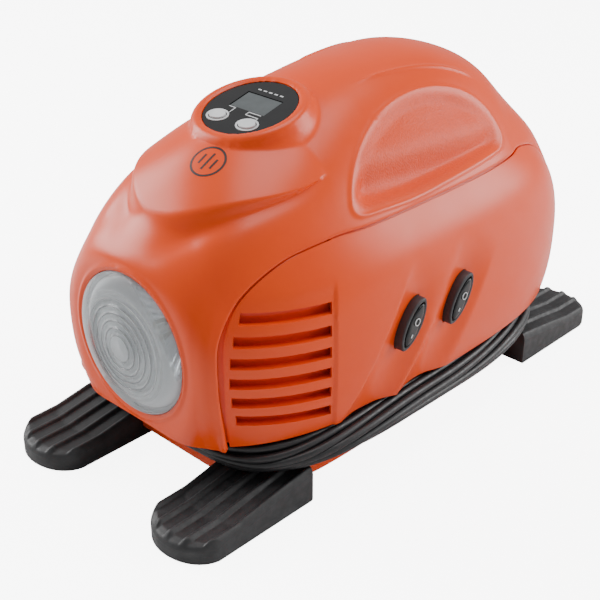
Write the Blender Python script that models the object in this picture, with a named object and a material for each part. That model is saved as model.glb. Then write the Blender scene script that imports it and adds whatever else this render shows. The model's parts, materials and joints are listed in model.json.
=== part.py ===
"""Portable tire inflator: an orange plastic body with a lamp, a pressure gauge and two rocker
switches, standing on four rubber feet, with its cord wound round the neck of the base.
Metres, +Z up. The origin is on the ground at the middle of the footprint, -Y is the lamp end and
+X is the switch side. Lengths below are in millimetres, measured from the body's widest section,
which stands a little ahead of the origin."""

import math

import bpy
import numpy as np
from mathutils import Matrix, Vector

MM = 0.001
MIDDLE = Vector((0, 9, 0))  # the middle of the footprint, seen from the body's widest section
GAP = 0.3  # between pieces that touch
WALL = 2.5  # thickness of the plastic skin

# ---- body skin -------------------------------------------------------------------------------
HALF_WIDTH = 89.0
FRONT_REACH = 150.0
REAR_REACH = 167.0
FRONT_POWER = 2.7
REAR_POWER = 3.5
HEIGHT_POWER = 2.5
WAIST_Z = 80.0  # the height at which the body is widest
RISE = 92.0
DROP = 102.0
BODY_BOTTOM = 42.3

# Seam between the cover and a side panel: up a front limb, along the shoulder, down a rear limb,
# with a rounded corner between each two. A corner is the turn in degrees and the height it takes.
FRONT_LIMB = -56.0  # degrees round the body
REAR_LIMB = 60.0
SHOULDER_Z = 143.0
FRONT_CORNER = (32.0, 34.0)
REAR_CORNER = (20.0, 28.0)
SEAM_SHARES = (0, 0.19, 0.375, 0.75, 0.875, 1)  # where limb, corner and shoulder meet
SEAM_FRONT_SHARE = SEAM_SHARES[2]
SEAM_REAR_SHARE = SEAM_SHARES[3]

# Line along the top of the cover: one arc from nose to crest and one from crest to tail, each
# place as (distance back, height). A pull is the share of the arc's size that its ends hold.
NOSE = (-147.0, 84.0)
CREST = (48.0, 204.0)
TAIL = (163.0, 72.0)
NOSE_PULL = 0.6
CREST_PULLS = (0.58, 0.74)  # ahead of the crest and behind it
TAIL_PULL = 0.46
TUCK = 6.0  # how far the line draws in from nose and tail down to the lower edge
SPINE_SHARES = (0.12, 0.6, 0.93)  # where nose, crest and tail lie along the line
LINE_STEPS = 16

# Direction in which the cover arrives at the seam: outwards, fore and aft, down.
ARRIVAL_OUT = (0.62, 0.5)  # on the limbs and on the shoulder
ARRIVAL_FORE = 0.78
ARRIVAL_DOWN = 0.86
ARRIVAL_PULL = 1.3  # how strongly the ends of a cross curve hold their direction
SEAM_INSET = 0.012  # share of a surface left out at the seam, so that it shows as a fine line
EDGE_CHAMFER = 1.8
COVER_STEPS = (25, 16)
PANEL_STEPS = (15, 7)

# ---- lamp ------------------------------------------------------------------------------------
LAMP_Y = -140.5
LAMP_Z = 87.6
LENS_RADIUS = 39.6
LENS_DOME = 8.0

# ---- gauge -----------------------------------------------------------------------------------
GAUGE_AT = Vector((0, -52.7, 192.2))
GAUGE_TILT = math.radians(14.7)
GAUGE_RADIUS = 25.5
GAUGE_DEPTH = 5.0

# ---- louvre slots in both side panels ----------------------------------------------------------
VENT_COUNT = 6
VENT_THICKNESS = 6.0
VENT_REAR_ANGLE = -30.0
VENT_FRONT_ANGLES = (-46, -50.5, -52.5, -52.5, -51.5, -48.5)
VENT_TOP_Z = (114.0, 110.0)  # heights of the top slot at its front and rear end
VENT_PITCH = (11.6, 12.3)

# ---- switches --------------------------------------------------------------------------------
SWITCH_Z = 85.0
SWITCH_Y = (-21.0, 20.0)
SWITCH_LEAN = math.radians(33)
SWITCH_HALF = (7.6, 16.0)  # half width and half length of the switch opening

# ---- base, feet and cord -----------------------------------------------------------------------
BASE_MID_Y = MIDDLE.y
PLATE_HALF = (74.0, 127.0)
PLATE_Z = (6.0, 16.0)
NECK_HALF = (64.0, 117.0)
NECK_TOP = 41.7
FLOOR_TOP = 9.0
BASE_POWER = 4.0
FOOT_X = 56.0
FOOT_HALF_WIDTH = 23.5
FOOT_TIP_Y = -172.0
FOOT_INNER_Y = -88.0
FOOT_SHIFT = 18.0  # the rear feet reach this much further from the origin
SCREW_Y = -98.0
CORD_HALF = (82.0, 129.5)
CORD_Z = 31.3
CORD_POWERS = (4.0, 3.0)  # the winding is rounder at the rear than at the front

GLAND_X = 19.0
GLAND_Z = 13.0
GLAND_RADIUS = 3.2

# ---- motor and pump ----------------------------------------------------------------------------
MODULE = 1.5
GEAR_TEETH = 40
PINION_TEETH = 10
CRANK_X = -12.0
CRANK_Z = 78.0
GEAR_MID_Y = -29.0
CRANK_THROW = 9.0
ROD_LENGTH = 44.0
ROD_Y = -38.5
BORE_RADIUS = 12.5
MOTOR_X = CRANK_X + MODULE * (GEAR_TEETH + PINION_TEETH) / 2
MOTOR_RADIUS = 22.0
SHAFT_RADIUS = 2.5
FRAME_Y = (-22.0, -18.0)
SHELF_Z = (112.0, 115.7)

# ---- stowed hose end and plug ------------------------------------------------------------------
CHUCK_AT = Vector((1, 179, 18))
PLUG_AT = Vector((6, 162, 19))
CHUCK_RADIUS = 7.5
PLUG_RADIUS = 8.0

PALETTE = {
    "orange_plastic": ((0.83, 0.105, 0.012), 0.32, 0.0),
    "black_rubber": ((0.012, 0.012, 0.013), 0.62, 0.0),
    "cord_rubber": ((0.010, 0.010, 0.011), 0.5, 0.0),
    "clear_lens": ((0.86, 0.88, 0.90), 0.08, 0.0),
    "reflector_chrome": ((0.80, 0.81, 0.83), 0.12, 1.0),
    "black_gloss": ((0.008, 0.008, 0.009), 0.12, 0.0),
    "grey_display": ((0.18, 0.20, 0.21), 0.2, 0.0),
    "white_plastic": ((0.70, 0.71, 0.72), 0.35, 0.0),
    "dark_grey_plastic": ((0.03, 0.03, 0.033), 0.4, 0.0),
    "circuit_board": ((0.02, 0.12, 0.05), 0.5, 0.0),
    "steel": ((0.55, 0.56, 0.57), 0.3, 1.0),
    "zinc_plate": ((0.62, 0.63, 0.62), 0.4, 1.0),
    "cast_aluminium": ((0.60, 0.60, 0.61), 0.45, 1.0),
    "nylon_white": ((0.75, 0.74, 0.70), 0.45, 0.0),
    "brass": ((0.78, 0.56, 0.22), 0.25, 1.0),
    "warm_glass": ((0.90, 0.88, 0.80), 0.05, 0.0),
}


def clear_scene():
    for obj in list(bpy.data.objects):
        bpy.data.objects.remove(obj, do_unlink=True)


def material(slot):
    """The Principled material of this name, made the first time it is asked for."""
    found = bpy.data.materials.get(slot)
    if found:
        return found
    colour, roughness, metallic = PALETTE[slot]
    made = bpy.data.materials.new(slot)
    made.use_nodes = True
    shader = made.node_tree.nodes["Principled BSDF"]
    shader.inputs["Base Color"].default_value = (*colour, 1)
    shader.inputs["Roughness"].default_value = roughness
    shader.inputs["Metallic"].default_value = metallic
    made.diffuse_color = (*colour, 1)
    return made


def solid(name, points, faces, slot=None, smooth=False, origin=(0, 0, 0)):
    """An object from points in millimetres, with its own origin at the place given."""
    shifted = (np.asarray(points, float) - np.asarray(origin, float)) * MM
    mesh = bpy.data.meshes.new(name)
    mesh.from_pydata([tuple(p) for p in shifted], [], faces)
    mesh.validate()
    if smooth:
        mesh.shade_smooth()
    obj = bpy.data.objects.new(name, mesh)
    obj.location = (Vector(origin) - MIDDLE) * MM
    bpy.context.scene.collection.objects.link(obj)
    if slot:
        mesh.materials.append(material(slot))
    return obj


def helper(obj):
    """Marks an object that only shapes another one."""
    obj.hide_render = True
    obj.display_type = "WIRE"
    return obj


def combine(target, other, operation):
    step = target.modifiers.new(operation.title(), "BOOLEAN")
    step.operation = operation
    step.solver = "EXACT"
    step.object = helper(other)
    return target


def loft_faces(ring_count, ring_size, closed):
    """Quads between rings that follow each other, with end caps unless the loft is closed."""
    faces = []
    spans = ring_count if closed else ring_count - 1
    for i in range(spans):
        here = i * ring_size
        there = ((i + 1) % ring_count) * ring_size
        for j in range(ring_size):
            k = (j + 1) % ring_size
            faces.append((here + j, here + k, there + k, there + j))
    if not closed:
        last = (ring_count - 1) * ring_size
        faces.append(tuple(reversed(range(ring_size))))
        faces.append(tuple(range(last, last + ring_size)))
    return faces


def signed_volume(points, faces):
    total = 0.0
    for face in faces:
        a = points[face[0]]
        for b, c in zip(face[1:-1], face[2:]):
            total += np.dot(a, np.cross(points[b], points[c]))
    return total


def loft(name, rings, slot=None, closed=False, smooth=True, origin=(0, 0, 0)):
    """A solid through rings of equally many points, turned so that it faces out."""
    points = np.concatenate([np.asarray(ring, float) for ring in rings])
    faces = loft_faces(len(rings), len(rings[0]), closed)
    if signed_volume(points - points.mean(axis=0), faces) < 0:
        faces = [tuple(reversed(face)) for face in faces]
    return solid(name, points, faces, slot, smooth, origin)


def frame_at(centre, across, along):
    """3x4 frame: columns are across, along, their normal and the centre."""
    across = np.asarray(across, float)
    along = np.asarray(along, float)
    return np.column_stack([across, along, np.cross(across, along), np.asarray(centre, float)])


def in_frame(frame, points):
    points = np.asarray(points, float)
    return points @ frame[:, :3].T + frame[:, 3]


UPRIGHT = ((1, 0, 0), (0, 1, 0))  # normal +Z
FORE_AFT = ((0, 0, 1), (1, 0, 0))  # normal +Y
SIDEWAYS = ((0, 1, 0), (0, 0, 1))  # normal +X
GAUGE_AXES = ((1, 0, 0), (0, math.cos(GAUGE_TILT), math.sin(GAUGE_TILT)))
SWITCH_AXES = (
    (0, math.cos(SWITCH_LEAN), -math.sin(SWITCH_LEAN)),
    (0, math.sin(SWITCH_LEAN), math.cos(SWITCH_LEAN)),
)


def turned(name, profile, centre, axes, sides, slot=None, hollow=False, origin=None):
    """A solid of revolution about the frame's normal. The profile is (radius, height) pairs: open
    between two end faces, or a closed loop round a hole when hollow."""
    frame = frame_at(centre, *axes)
    turn = np.arange(sides) * math.tau / sides
    rings = []
    for radius, height in profile:
        ring = np.column_stack(
            [radius * np.cos(turn), radius * np.sin(turn), np.full(sides, height)]
        )
        rings.append(in_frame(frame, ring))
    where = centre if origin is None else origin
    return loft(name, rings, slot, hollow, True, where)


def slab(name, outline, low, high, centre, axes, slot=None, origin=None):
    """A flat outline in the frame's plane, thick from low to high along its normal."""
    frame = frame_at(centre, *axes)
    outline = np.asarray(outline, float)
    rings = [
        in_frame(frame, np.column_stack([outline, np.full(len(outline), height)]))
        for height in (low, high)
    ]
    where = centre if origin is None else origin
    return loft(name, rings, slot, False, False, where)


def box(name, low, high, slot=None, origin=(0, 0, 0)):
    outline = ((low[0], low[1]), (high[0], low[1]), (high[0], high[1]), (low[0], high[1]))
    return slab(name, outline, low[2], high[2], (0, 0, 0), UPRIGHT, slot, origin)


def oval(half_x, half_y, sides, power=2.0, mid_y=0.0):
    """A closed oval, squarer for a higher power."""
    turn = (np.arange(sides) + 0.5) * math.tau / sides
    c = np.cos(turn)
    s = np.sin(turn)
    x = half_x * np.sign(c) * np.abs(c) ** (2 / power)
    y = half_y * np.sign(s) * np.abs(s) ** (2 / power) + mid_y
    return np.column_stack([x, y])


def level(outline, z):
    return np.column_stack([outline, np.full(len(outline), z)])


def leaf(half_width, half_length, sides):
    """A pointed oval, its long axis along the second direction."""
    turn = np.arange(sides) * math.tau / sides
    y = half_length * np.sin(turn)
    x = half_width * np.cos(turn) * np.abs(np.cos(turn)) ** 0.25
    return np.column_stack([x, y])


def tube(name, path, radius, slot, sides=8, steps=14):
    """A round hose through the path's points."""
    places = through(path, np.linspace(0, 1, steps))
    rings = []
    side = None
    for i, place in enumerate(places):
        ahead = places[min(i + 1, steps - 1)] - places[max(i - 1, 0)]
        ahead = ahead / np.linalg.norm(ahead)
        if side is None:
            guess = np.array([0, 0, 1.0]) if abs(ahead[2]) < 0.9 else np.array([1.0, 0, 0])
            side = np.cross(ahead, guess)
        side = side - ahead * np.dot(side, ahead)
        side = side / np.linalg.norm(side)
        up = np.cross(ahead, side)
        turn = np.arange(sides) * math.tau / sides
        rings.append(place + radius * (np.outer(np.cos(turn), side) + np.outer(np.sin(turn), up)))
    return loft(name, rings, slot, False, True, tuple(places[0]))


def through(points, share):
    """A smooth curve through evenly shared points, at each share from 0 to 1."""
    points = np.asarray(points, float)
    spans = len(points) - 1
    padded = np.vstack([2 * points[0] - points[1], points, 2 * points[-1] - points[-2]])
    place = np.clip(np.asarray(share, float), 0, 1) * spans
    first = np.minimum(place.astype(int), spans - 1)
    t = (place - first)[..., None]
    a, b, c, d = (padded[first + k] for k in range(4))
    return 0.5 * (
        2 * b + (c - a) * t + (2 * a - 5 * b + 4 * c - d) * t**2 + (3 * b - a - 3 * c + d) * t**3
    )


# ---- the skin's two surfaces -------------------------------------------------------------------


def seam_turn(share):
    """How far the seam has turned in radians: none on the front limb, a quarter on the shoulder and
    a half on the rear limb."""
    return np.radians(np.interp(share, SEAM_SHARES, (0, 0, 90, 90, 180, 180)))


def seam_line():
    """Places along the seam: angle round the body in degrees, and height."""
    share = np.linspace(0, 1, LINE_STEPS + 1)
    turn = seam_turn(share)
    first_turn = np.minimum(turn, np.pi / 2)
    last_turn = np.maximum(turn, np.pi / 2)
    shoulder = REAR_LIMB - REAR_CORNER[0] - FRONT_LIMB - FRONT_CORNER[0]
    angle = FRONT_LIMB + FRONT_CORNER[0] * (1 - np.cos(first_turn))
    angle += shoulder * np.interp(share, SEAM_SHARES[2:4], (0, 1))
    angle -= REAR_CORNER[0] * np.cos(last_turn)
    front_limb = (SHOULDER_Z - FRONT_CORNER[1] - BODY_BOTTOM) * np.minimum(share / SEAM_SHARES[1], 1)
    rear_limb = (SHOULDER_Z - REAR_CORNER[1] - BODY_BOTTOM) * np.minimum(
        (1 - share) / (1 - SEAM_SHARES[4]), 1
    )
    front = BODY_BOTTOM + front_limb + FRONT_CORNER[1] * np.sin(first_turn)
    rear = BODY_BOTTOM + rear_limb + REAR_CORNER[1] * np.sin(last_turn)
    return np.stack([angle, np.minimum(front, rear)], axis=-1)


def arc(first, first_handle, last_handle, last, share):
    """A cubic curve between two places, with a handle for each end."""
    t = np.clip(share, 0, 1)[:, None]
    first, last = np.asarray(first), np.asarray(last)
    return (
        (1 - t) ** 3 * first
        + 3 * (1 - t) ** 2 * t * np.asarray(first_handle)
        + 3 * (1 - t) * t**2 * np.asarray(last_handle)
        + t**3 * last
    )


def spine_line():
    """Places along the top of the cover: distance back and height."""
    share = np.linspace(0, 1, LINE_STEPS + 1)
    nose_share, crest_share, tail_share = SPINE_SHARES
    front = arc(
        NOSE,
        (NOSE[0], NOSE[1] + NOSE_PULL * (CREST[1] - NOSE[1])),
        (CREST[0] - CREST_PULLS[0] * (CREST[0] - NOSE[0]), CREST[1]),
        CREST,
        (share - nose_share) / (crest_share - nose_share),
    )
    rear = arc(
        CREST,
        (CREST[0] + CREST_PULLS[1] * (TAIL[0] - CREST[0]), CREST[1]),
        (TAIL[0], TAIL[1] + TAIL_PULL * (CREST[1] - TAIL[1])),
        TAIL,
        (share - crest_share) / (tail_share - crest_share),
    )
    line = np.where(share[:, None] < crest_share, front, rear)
    for low, way, depth in (
        (share < nose_share, 1, 1 - share / nose_share),
        (share > tail_share, -1, (share - tail_share) / (1 - tail_share)),
    ):
        end = NOSE if way > 0 else TAIL
        line[low, 0] += way * TUCK * depth[low] ** 2
        line[low, 1] += (BODY_BOTTOM - end[1]) * depth[low]
    return line


def arrival_line():
    """Direction in which the cover meets the seam, at places along it."""
    turn = seam_turn(np.linspace(0, 1, LINE_STEPS + 1))
    out = ARRIVAL_OUT[0] + (ARRIVAL_OUT[1] - ARRIVAL_OUT[0]) * np.sin(turn)
    return np.stack([out, ARRIVAL_FORE * np.cos(turn), -ARRIVAL_DOWN * np.sin(turn)], axis=-1)


SEAM = seam_line()
SPINE = spine_line()
ARRIVAL = arrival_line()


def girth(z):
    """Share of the body's full width at a height."""
    reach = np.where(z > WAIST_Z, RISE, DROP)
    return np.maximum(1 - np.abs((z - WAIST_Z) / reach) ** HEIGHT_POWER, 0) ** (1 / HEIGHT_POWER)


def side_surface(angle, z, grow=0.0):
    """The body's side: angle in degrees round it, from -90 at the lamp to +90 at the rear."""
    turn = np.radians(angle)
    power = np.where(turn < 0, FRONT_POWER, REAR_POWER)
    reach = np.where(turn < 0, FRONT_REACH, REAR_REACH)
    share = girth(z)
    x = (HALF_WIDTH * share + grow) * np.abs(np.cos(turn)) ** (2 / power)
    y = (reach * share + grow) * np.sign(turn) * np.abs(np.sin(turn)) ** (2 / power)
    return np.stack([x, y, z + 0 * x], axis=-1)


def seam_at(share):
    angle_and_height = through(SEAM, share)
    return side_surface(angle_and_height[..., 0], angle_and_height[..., 1])


def cover_surface(share, across):
    """The cover: share runs from the front edge over the top to the rear edge, across from -1 at
    the left seam to +1 at the right seam."""
    spine = through(SPINE, share)
    start = np.stack([0 * share, spine[..., 0], spine[..., 1]], axis=-1)
    end = seam_at(share)
    arrive = through(ARRIVAL, share)
    reach = np.linalg.norm(end - start, axis=-1, keepdims=True) * ARRIVAL_PULL
    leave = np.zeros_like(start)
    leave[..., 0] = 1
    t = np.abs(across)[..., None]
    place = (
        (2 * t**3 - 3 * t**2 + 1) * start
        + (t**3 - 2 * t**2 + t) * reach * leave
        + (3 * t**2 - 2 * t**3) * end
        + (t**3 - t**2) * reach * arrive
    )
    place[..., 0] *= np.where(across < 0, -1, 1)
    return place


def panel_surface(along, up, side):
    """A side panel: along runs from the front seam to the rear seam, up from its lower edge to
    the shoulder. Side is +1 for the right and -1 for the left."""
    front = through(SEAM, up * SEAM_FRONT_SHARE)
    rear = through(SEAM, 1 - up * (1 - SEAM_REAR_SHARE))
    top = through(SEAM, SEAM_FRONT_SHARE + along * (SEAM_REAR_SHARE - SEAM_FRONT_SHARE))
    first, last = SEAM[0], SEAM[-1]
    top_first = through(SEAM, np.array(SEAM_FRONT_SHARE))
    top_last = through(SEAM, np.array(SEAM_REAR_SHARE))
    a = along[..., None]
    u = up[..., None]
    bottom = first * (1 - a) + last * a
    corners = (1 - a) * (1 - u) * first + a * (1 - u) * last
    corners = corners + (1 - a) * u * top_first + a * u * top_last
    place = front * (1 - a) + rear * a + bottom * (1 - u) + top * u - corners
    surface = side_surface(place[..., 0], place[..., 1])
    surface[..., 0] *= side
    return surface


def grid_normals(grid):
    along = np.gradient(grid, axis=0)
    across = np.gradient(grid, axis=1)
    return unit(np.cross(along, across))


def unit(vectors):
    return vectors / np.maximum(np.linalg.norm(vectors, axis=-1, keepdims=True), 1e-9)


def skin(name, grid, slot, middle_of_body):
    """A closed sheet WALL thick behind a grid of surface points, its hidden edges chamfered so that
    two sheets meet only at the surface. The surface faces away from the point given last."""
    rows, columns = grid.shape[:2]
    normal = grid_normals(grid)
    middle = grid[rows // 2, columns // 2]
    if np.dot(normal[rows // 2, columns // 2], middle - np.asarray(middle_of_body, float)) < 0:
        normal = -normal
    inner = grid - WALL * normal
    for border, next_in in ((0, 1), (-1, -2)):
        inner[border] += EDGE_CHAMFER * unit(grid[next_in] - grid[border])
        inner[:, border] += EDGE_CHAMFER * unit(grid[:, next_in] - grid[:, border])
    points = np.concatenate([grid.reshape(-1, 3), inner.reshape(-1, 3)])
    half = rows * columns
    faces = []
    for i in range(rows - 1):
        for j in range(columns - 1):
            a = i * columns + j
            quad = (a, a + 1, a + columns + 1, a + columns)
            faces.append(quad)
            faces.append(tuple(half + k for k in reversed(quad)))
    edge = edge_of(rows, columns)
    for a, b in zip(edge, edge[1:] + edge[:1]):
        faces.append((a, b, half + b, half + a))
    if signed_volume(points - points.mean(axis=0), faces) < 0:
        faces = [tuple(reversed(face)) for face in faces]
    return solid(name, points, faces, slot, True)


def top_cover():
    share, across = np.meshgrid(
        np.linspace(0, 1, COVER_STEPS[0] + 1), np.linspace(-1, 1, COVER_STEPS[1] + 1), indexing="ij"
    )
    inset = 1 - SEAM_INSET
    grid = cover_surface(share, across * inset)
    cover = skin("top_cover", grid, "orange_plastic", (0, 0, WAIST_Z))
    bezel = turned(
        "gauge_bezel", ((42, -16), (38, -6), (32, 0), (29, 1.2)), GAUGE_AT, GAUGE_AXES, 28
    )
    combine(cover, bezel, "UNION")
    well_radius = GAUGE_RADIUS + 0.5
    well = turned("gauge_well", ((well_radius, -30), (well_radius, 12)), GAUGE_AT, GAUGE_AXES, 28)
    combine(cover, well, "DIFFERENCE")
    mouth_radius = LENS_RADIUS + GAP + 0.2
    mouth_at = (0, LAMP_Y, LAMP_Z)
    mouth = turned("lamp_mouth", ((mouth_radius, -40), (mouth_radius, 40)), mouth_at, FORE_AFT, 36)
    combine(cover, mouth, "DIFFERENCE")
    return cover


def bars(name, spans, thickness, side, inward, outward):
    """Curved bars that follow the body's side, each span (front angle, rear angle, front height,
    rear height). They are cutters for the louvre slots."""
    points = []
    faces = []
    steps = 6
    for front, rear, front_z, rear_z in spans:
        rings = []
        for share in np.linspace(0, 1, steps):
            angle = np.array(front + share * (rear - front))
            z = front_z + share * (rear_z - front_z)
            ring = [
                side_surface(angle, np.array(z - thickness / 2), inward),
                side_surface(angle, np.array(z + thickness / 2), inward),
                side_surface(angle, np.array(z + thickness / 2), outward),
                side_surface(angle, np.array(z - thickness / 2), outward),
            ]
            rings.append(np.array(ring) * (side, 1, 1))
        start = len(points)
        ring_faces = loft_faces(steps, 4, False)
        flat = np.concatenate(rings)
        if signed_volume(flat - flat.mean(axis=0), ring_faces) < 0:
            ring_faces = [tuple(reversed(face)) for face in ring_faces]
        points.extend(flat.tolist())
        faces.extend(tuple(start + k for k in face) for face in ring_faces)
    return solid(name, points, faces)


def vent_spans():
    return [
        (
            VENT_FRONT_ANGLES[i],
            VENT_REAR_ANGLE,
            VENT_TOP_Z[0] - i * VENT_PITCH[0],
            VENT_TOP_Z[1] - i * VENT_PITCH[1],
        )
        for i in range(VENT_COUNT)
    ]


def side_point(y, z):
    """The point of the body's right side at this distance back and height."""
    share = girth(np.array(z))
    reach, power = (FRONT_REACH, FRONT_POWER) if y < 0 else (REAR_REACH, REAR_POWER)
    x = HALF_WIDTH * share * (1 - (abs(y) / (reach * share)) ** power) ** (1 / power)
    return Vector((float(x), y, z))


def side_panel(name, side):
    along, up = np.meshgrid(
        np.linspace(SEAM_INSET / 2, 1 - SEAM_INSET / 2, PANEL_STEPS[0] + 1),
        np.linspace(0, 1 - SEAM_INSET, PANEL_STEPS[1] + 1),
        indexing="ij",
    )
    grid = panel_surface(along, up, side)
    panel = skin(name, grid, "orange_plastic", (0, 0, WAIST_Z))
    slots = bars(name + "_slots", vent_spans(), VENT_THICKNESS, side, -9, 5)
    combine(panel, slots, "DIFFERENCE")
    if side > 0:
        for y in SWITCH_Y:
            place = side_point(y, SWITCH_Z)
            outline = leaf(SWITCH_HALF[0], SWITCH_HALF[1], 20)
            hole = slab("switch_hole", outline, -12, 12, place, SWITCH_AXES)
            combine(panel, hole, "DIFFERENCE")
    return panel


def base_tray():
    """Open tray: foot plate below, narrower neck above it for the cord to be wound round."""
    sides = 24

    def ring(half, shrink, z):
        outline = oval(half[0] - shrink, half[1] - shrink, sides, BASE_POWER, BASE_MID_Y)
        return level(outline, z)

    wall = 3.0
    rings = [
        ring(PLATE_HALF, 1.5, PLATE_Z[0]),
        ring(PLATE_HALF, 0, PLATE_Z[0] + 1.5),
        ring(PLATE_HALF, 0, PLATE_Z[1] - 2),
        ring(PLATE_HALF, 2, PLATE_Z[1]),
        ring(NECK_HALF, 0, PLATE_Z[1] + 4),
        ring(NECK_HALF, 0, NECK_TOP),
        ring(NECK_HALF, wall, NECK_TOP),
        ring(NECK_HALF, wall, FLOOR_TOP),
    ]
    tray = loft("base_tray", rings, "orange_plastic", smooth=False)
    for x, y in screw_places():
        hole = turned("screw_hole", ((2.1, -3), (2.1, 6)), (x, y, 8), UPRIGHT, 12)
        combine(tray, hole, "DIFFERENCE")
    for x in (GLAND_X, -GLAND_X):
        exit_at = (x, BASE_MID_Y + NECK_HALF[1], GLAND_Z)
        hole = turned("cable_exit", ((GLAND_RADIUS + GAP, -12), (GLAND_RADIUS + GAP, 16)), exit_at,
                      FORE_AFT, 12)
        combine(tray, hole, "DIFFERENCE")
    return tray


def screw_places():
    rear_y = 2 * BASE_MID_Y - SCREW_Y
    return [(x, y) for y in (SCREW_Y, rear_y) for x in (FOOT_X, -FOOT_X)]


def base_screws():
    names = ("screw_front_right", "screw_front_left", "screw_rear_right", "screw_rear_left")
    for name, (x, y) in zip(names, screw_places()):
        profile = ((4, 1), (4, 2.6), (1.8, 3.6), (1.8, 9))
        turned(name, profile, (x, y, 0), UPRIGHT, 12, "steel")


def edge_of(rows, columns):
    """Numbers of a grid's border points, in order round it."""
    edge = [i * columns for i in range(rows)]
    edge += [(rows - 1) * columns + j for j in range(1, columns)]
    edge += [i * columns + columns - 1 for i in range(rows - 2, -1, -1)]
    edge += list(range(columns - 2, 0, -1))
    return edge


def block(name, grid, slot):
    """A solid with a grid of points for its top and a flat floor on the ground."""
    rows, columns = grid.shape[:2]
    edge = edge_of(rows, columns)
    top = grid.reshape(-1, 3)
    floor = top[edge] * (1, 1, 0)
    points = np.concatenate([top, floor])
    faces = []
    for i in range(rows - 1):
        for j in range(columns - 1):
            a = i * columns + j
            faces.append((a, a + 1, a + columns + 1, a + columns))
    under = len(top)
    size = len(edge)
    for k in range(size):
        n = (k + 1) % size
        faces.append((edge[k], edge[n], under + n, under + k))
    faces.append(tuple(range(under, under + size)))
    if signed_volume(points - points.mean(axis=0), faces) < 0:
        faces = [tuple(reversed(face)) for face in faces]
    return solid(name, points, faces, slot)


def foot_top(share):
    """Height of a foot's top from its tip (0) to its inner end (1): low, dished, then rising."""
    return float(np.interp(share, (0, 0.3, 0.6, 1), (11.5, 12.3, 16.5, 20)))


def foot(name, side, end):
    """One rubber foot. Side is +1 for the right, end is -1 for the front and +1 for the rear."""
    rib_pitch = 10.5
    rib_half = 1.1
    rib_height = 1.6
    lines = []
    for k in range(-2, 3):
        centre = k * rib_pitch
        lines += [(centre - rib_half, 0), (centre - rib_half / 2, rib_height)]
        lines += [(centre + rib_half / 2, rib_height), (centre + rib_half, 0)]
    lines = [(-FOOT_HALF_WIDTH, -1)] + lines + [(FOOT_HALF_WIDTH, -1)]
    length = FOOT_INNER_Y - FOOT_TIP_Y
    shares = (0, 0.15, 0.4, 0.7, 1)
    grid = np.zeros((len(shares), len(lines), 3))
    for i, share in enumerate(shares):
        for j, (across, rise) in enumerate(lines):
            wide = abs(across) / FOOT_HALF_WIDTH
            tip = FOOT_HALF_WIDTH * 0.8 * (1 - math.sqrt(1 - 0.98 * wide**2))
            y = FOOT_TIP_Y + tip * (1 - share) + share * length
            grid[i, j] = (side * FOOT_X + across, y, foot_top(share) + rise)
    if end > 0:
        grid[..., 1] = FOOT_SHIFT - grid[..., 1]
    made = block(name, grid, "black_rubber")
    outline = oval(PLATE_HALF[0] + GAP, PLATE_HALF[1] + GAP, 24, BASE_POWER, BASE_MID_Y)
    room = slab(name + "_room", outline, PLATE_Z[0] - GAP, 60, (0, 0, 0), UPRIGHT)
    combine(made, room, "DIFFERENCE")
    y = SCREW_Y if end < 0 else 2 * BASE_MID_Y - SCREW_Y
    profile = ((4.4, -1), (4.4, 3), (2.1, 3.9), (2.1, 8))
    hole = turned(name + "_screw_hole", profile, (side * FOOT_X, y, 0), UPRIGHT, 12)
    combine(made, hole, "DIFFERENCE")
    return made


def feet():
    for end_name, end in (("front", -1), ("rear", 1)):
        for side_name, side in (("right", 1), ("left", -1)):
            foot(f"foot_{end_name}_{side_name}", side, end)


def cord_bundle():
    """The wound mains cord, as one plain ring round the neck."""
    path_sides = 36
    section_sides = 8
    half_wide, half_high = 9.5, 9.3
    mid_y = BASE_MID_Y + 2
    rings = []
    for share in range(section_sides):
        angle = share * math.tau / section_sides
        out = half_wide * math.cos(angle)
        up = half_high * math.sin(angle)
        half = (CORD_HALF[0] + out, CORD_HALF[1] + out)
        front, rear = (oval(*half, path_sides, power, mid_y) for power in CORD_POWERS)
        outline = np.where(np.asarray(front)[:, 1:] < mid_y, front, rear)
        rings.append(level(outline, CORD_Z + up))
    loft("cord_bundle", rings, "cord_rubber", closed=True)


def lens_dome(share):
    """How far the lens stands forward of its rim, as a distance back, at a share of its radius."""
    return -LENS_DOME * math.sqrt(1 - share**2)


def lamp():
    centre = (0, LAMP_Y, LAMP_Z)
    shares = (1, 0.9, 0.65, 0.35, 0.03)
    front = [(LENS_RADIUS * share, lens_dome(share)) for share in shares]
    back = [((LENS_RADIUS - 2.5) * share, lens_dome(share) + 2.5) for share in reversed(shares)]
    profile = front + back + [(LENS_RADIUS, 3)]
    turned("lamp_lens", profile, centre, FORE_AFT, 28, "clear_lens", hollow=True)
    bowl = [(34, 4), (28, 14), (20, 24), (12, 31), (6, 34)]
    outside = [(radius + 1.6, height + 0.8) for radius, height in reversed(bowl)]
    rim = [(38.5, 3.4), (38.5, 5)]
    turned("lamp_reflector", bowl + outside + rim[::-1], centre, FORE_AFT, 24, "reflector_chrome",
           hollow=True)
    bulb = [(4.8, 37), (4.8, 26), (6, 20), (5, 15.5), (2.5, 13.5)]
    turned("lamp_bulb", bulb, centre, FORE_AFT, 16, "warm_glass")
    turned("lamp_socket", [(9, 37.6), (9, 46), (4, 46), (4, 37.6)], centre, FORE_AFT, 16,
           "nylon_white", hollow=True)


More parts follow.
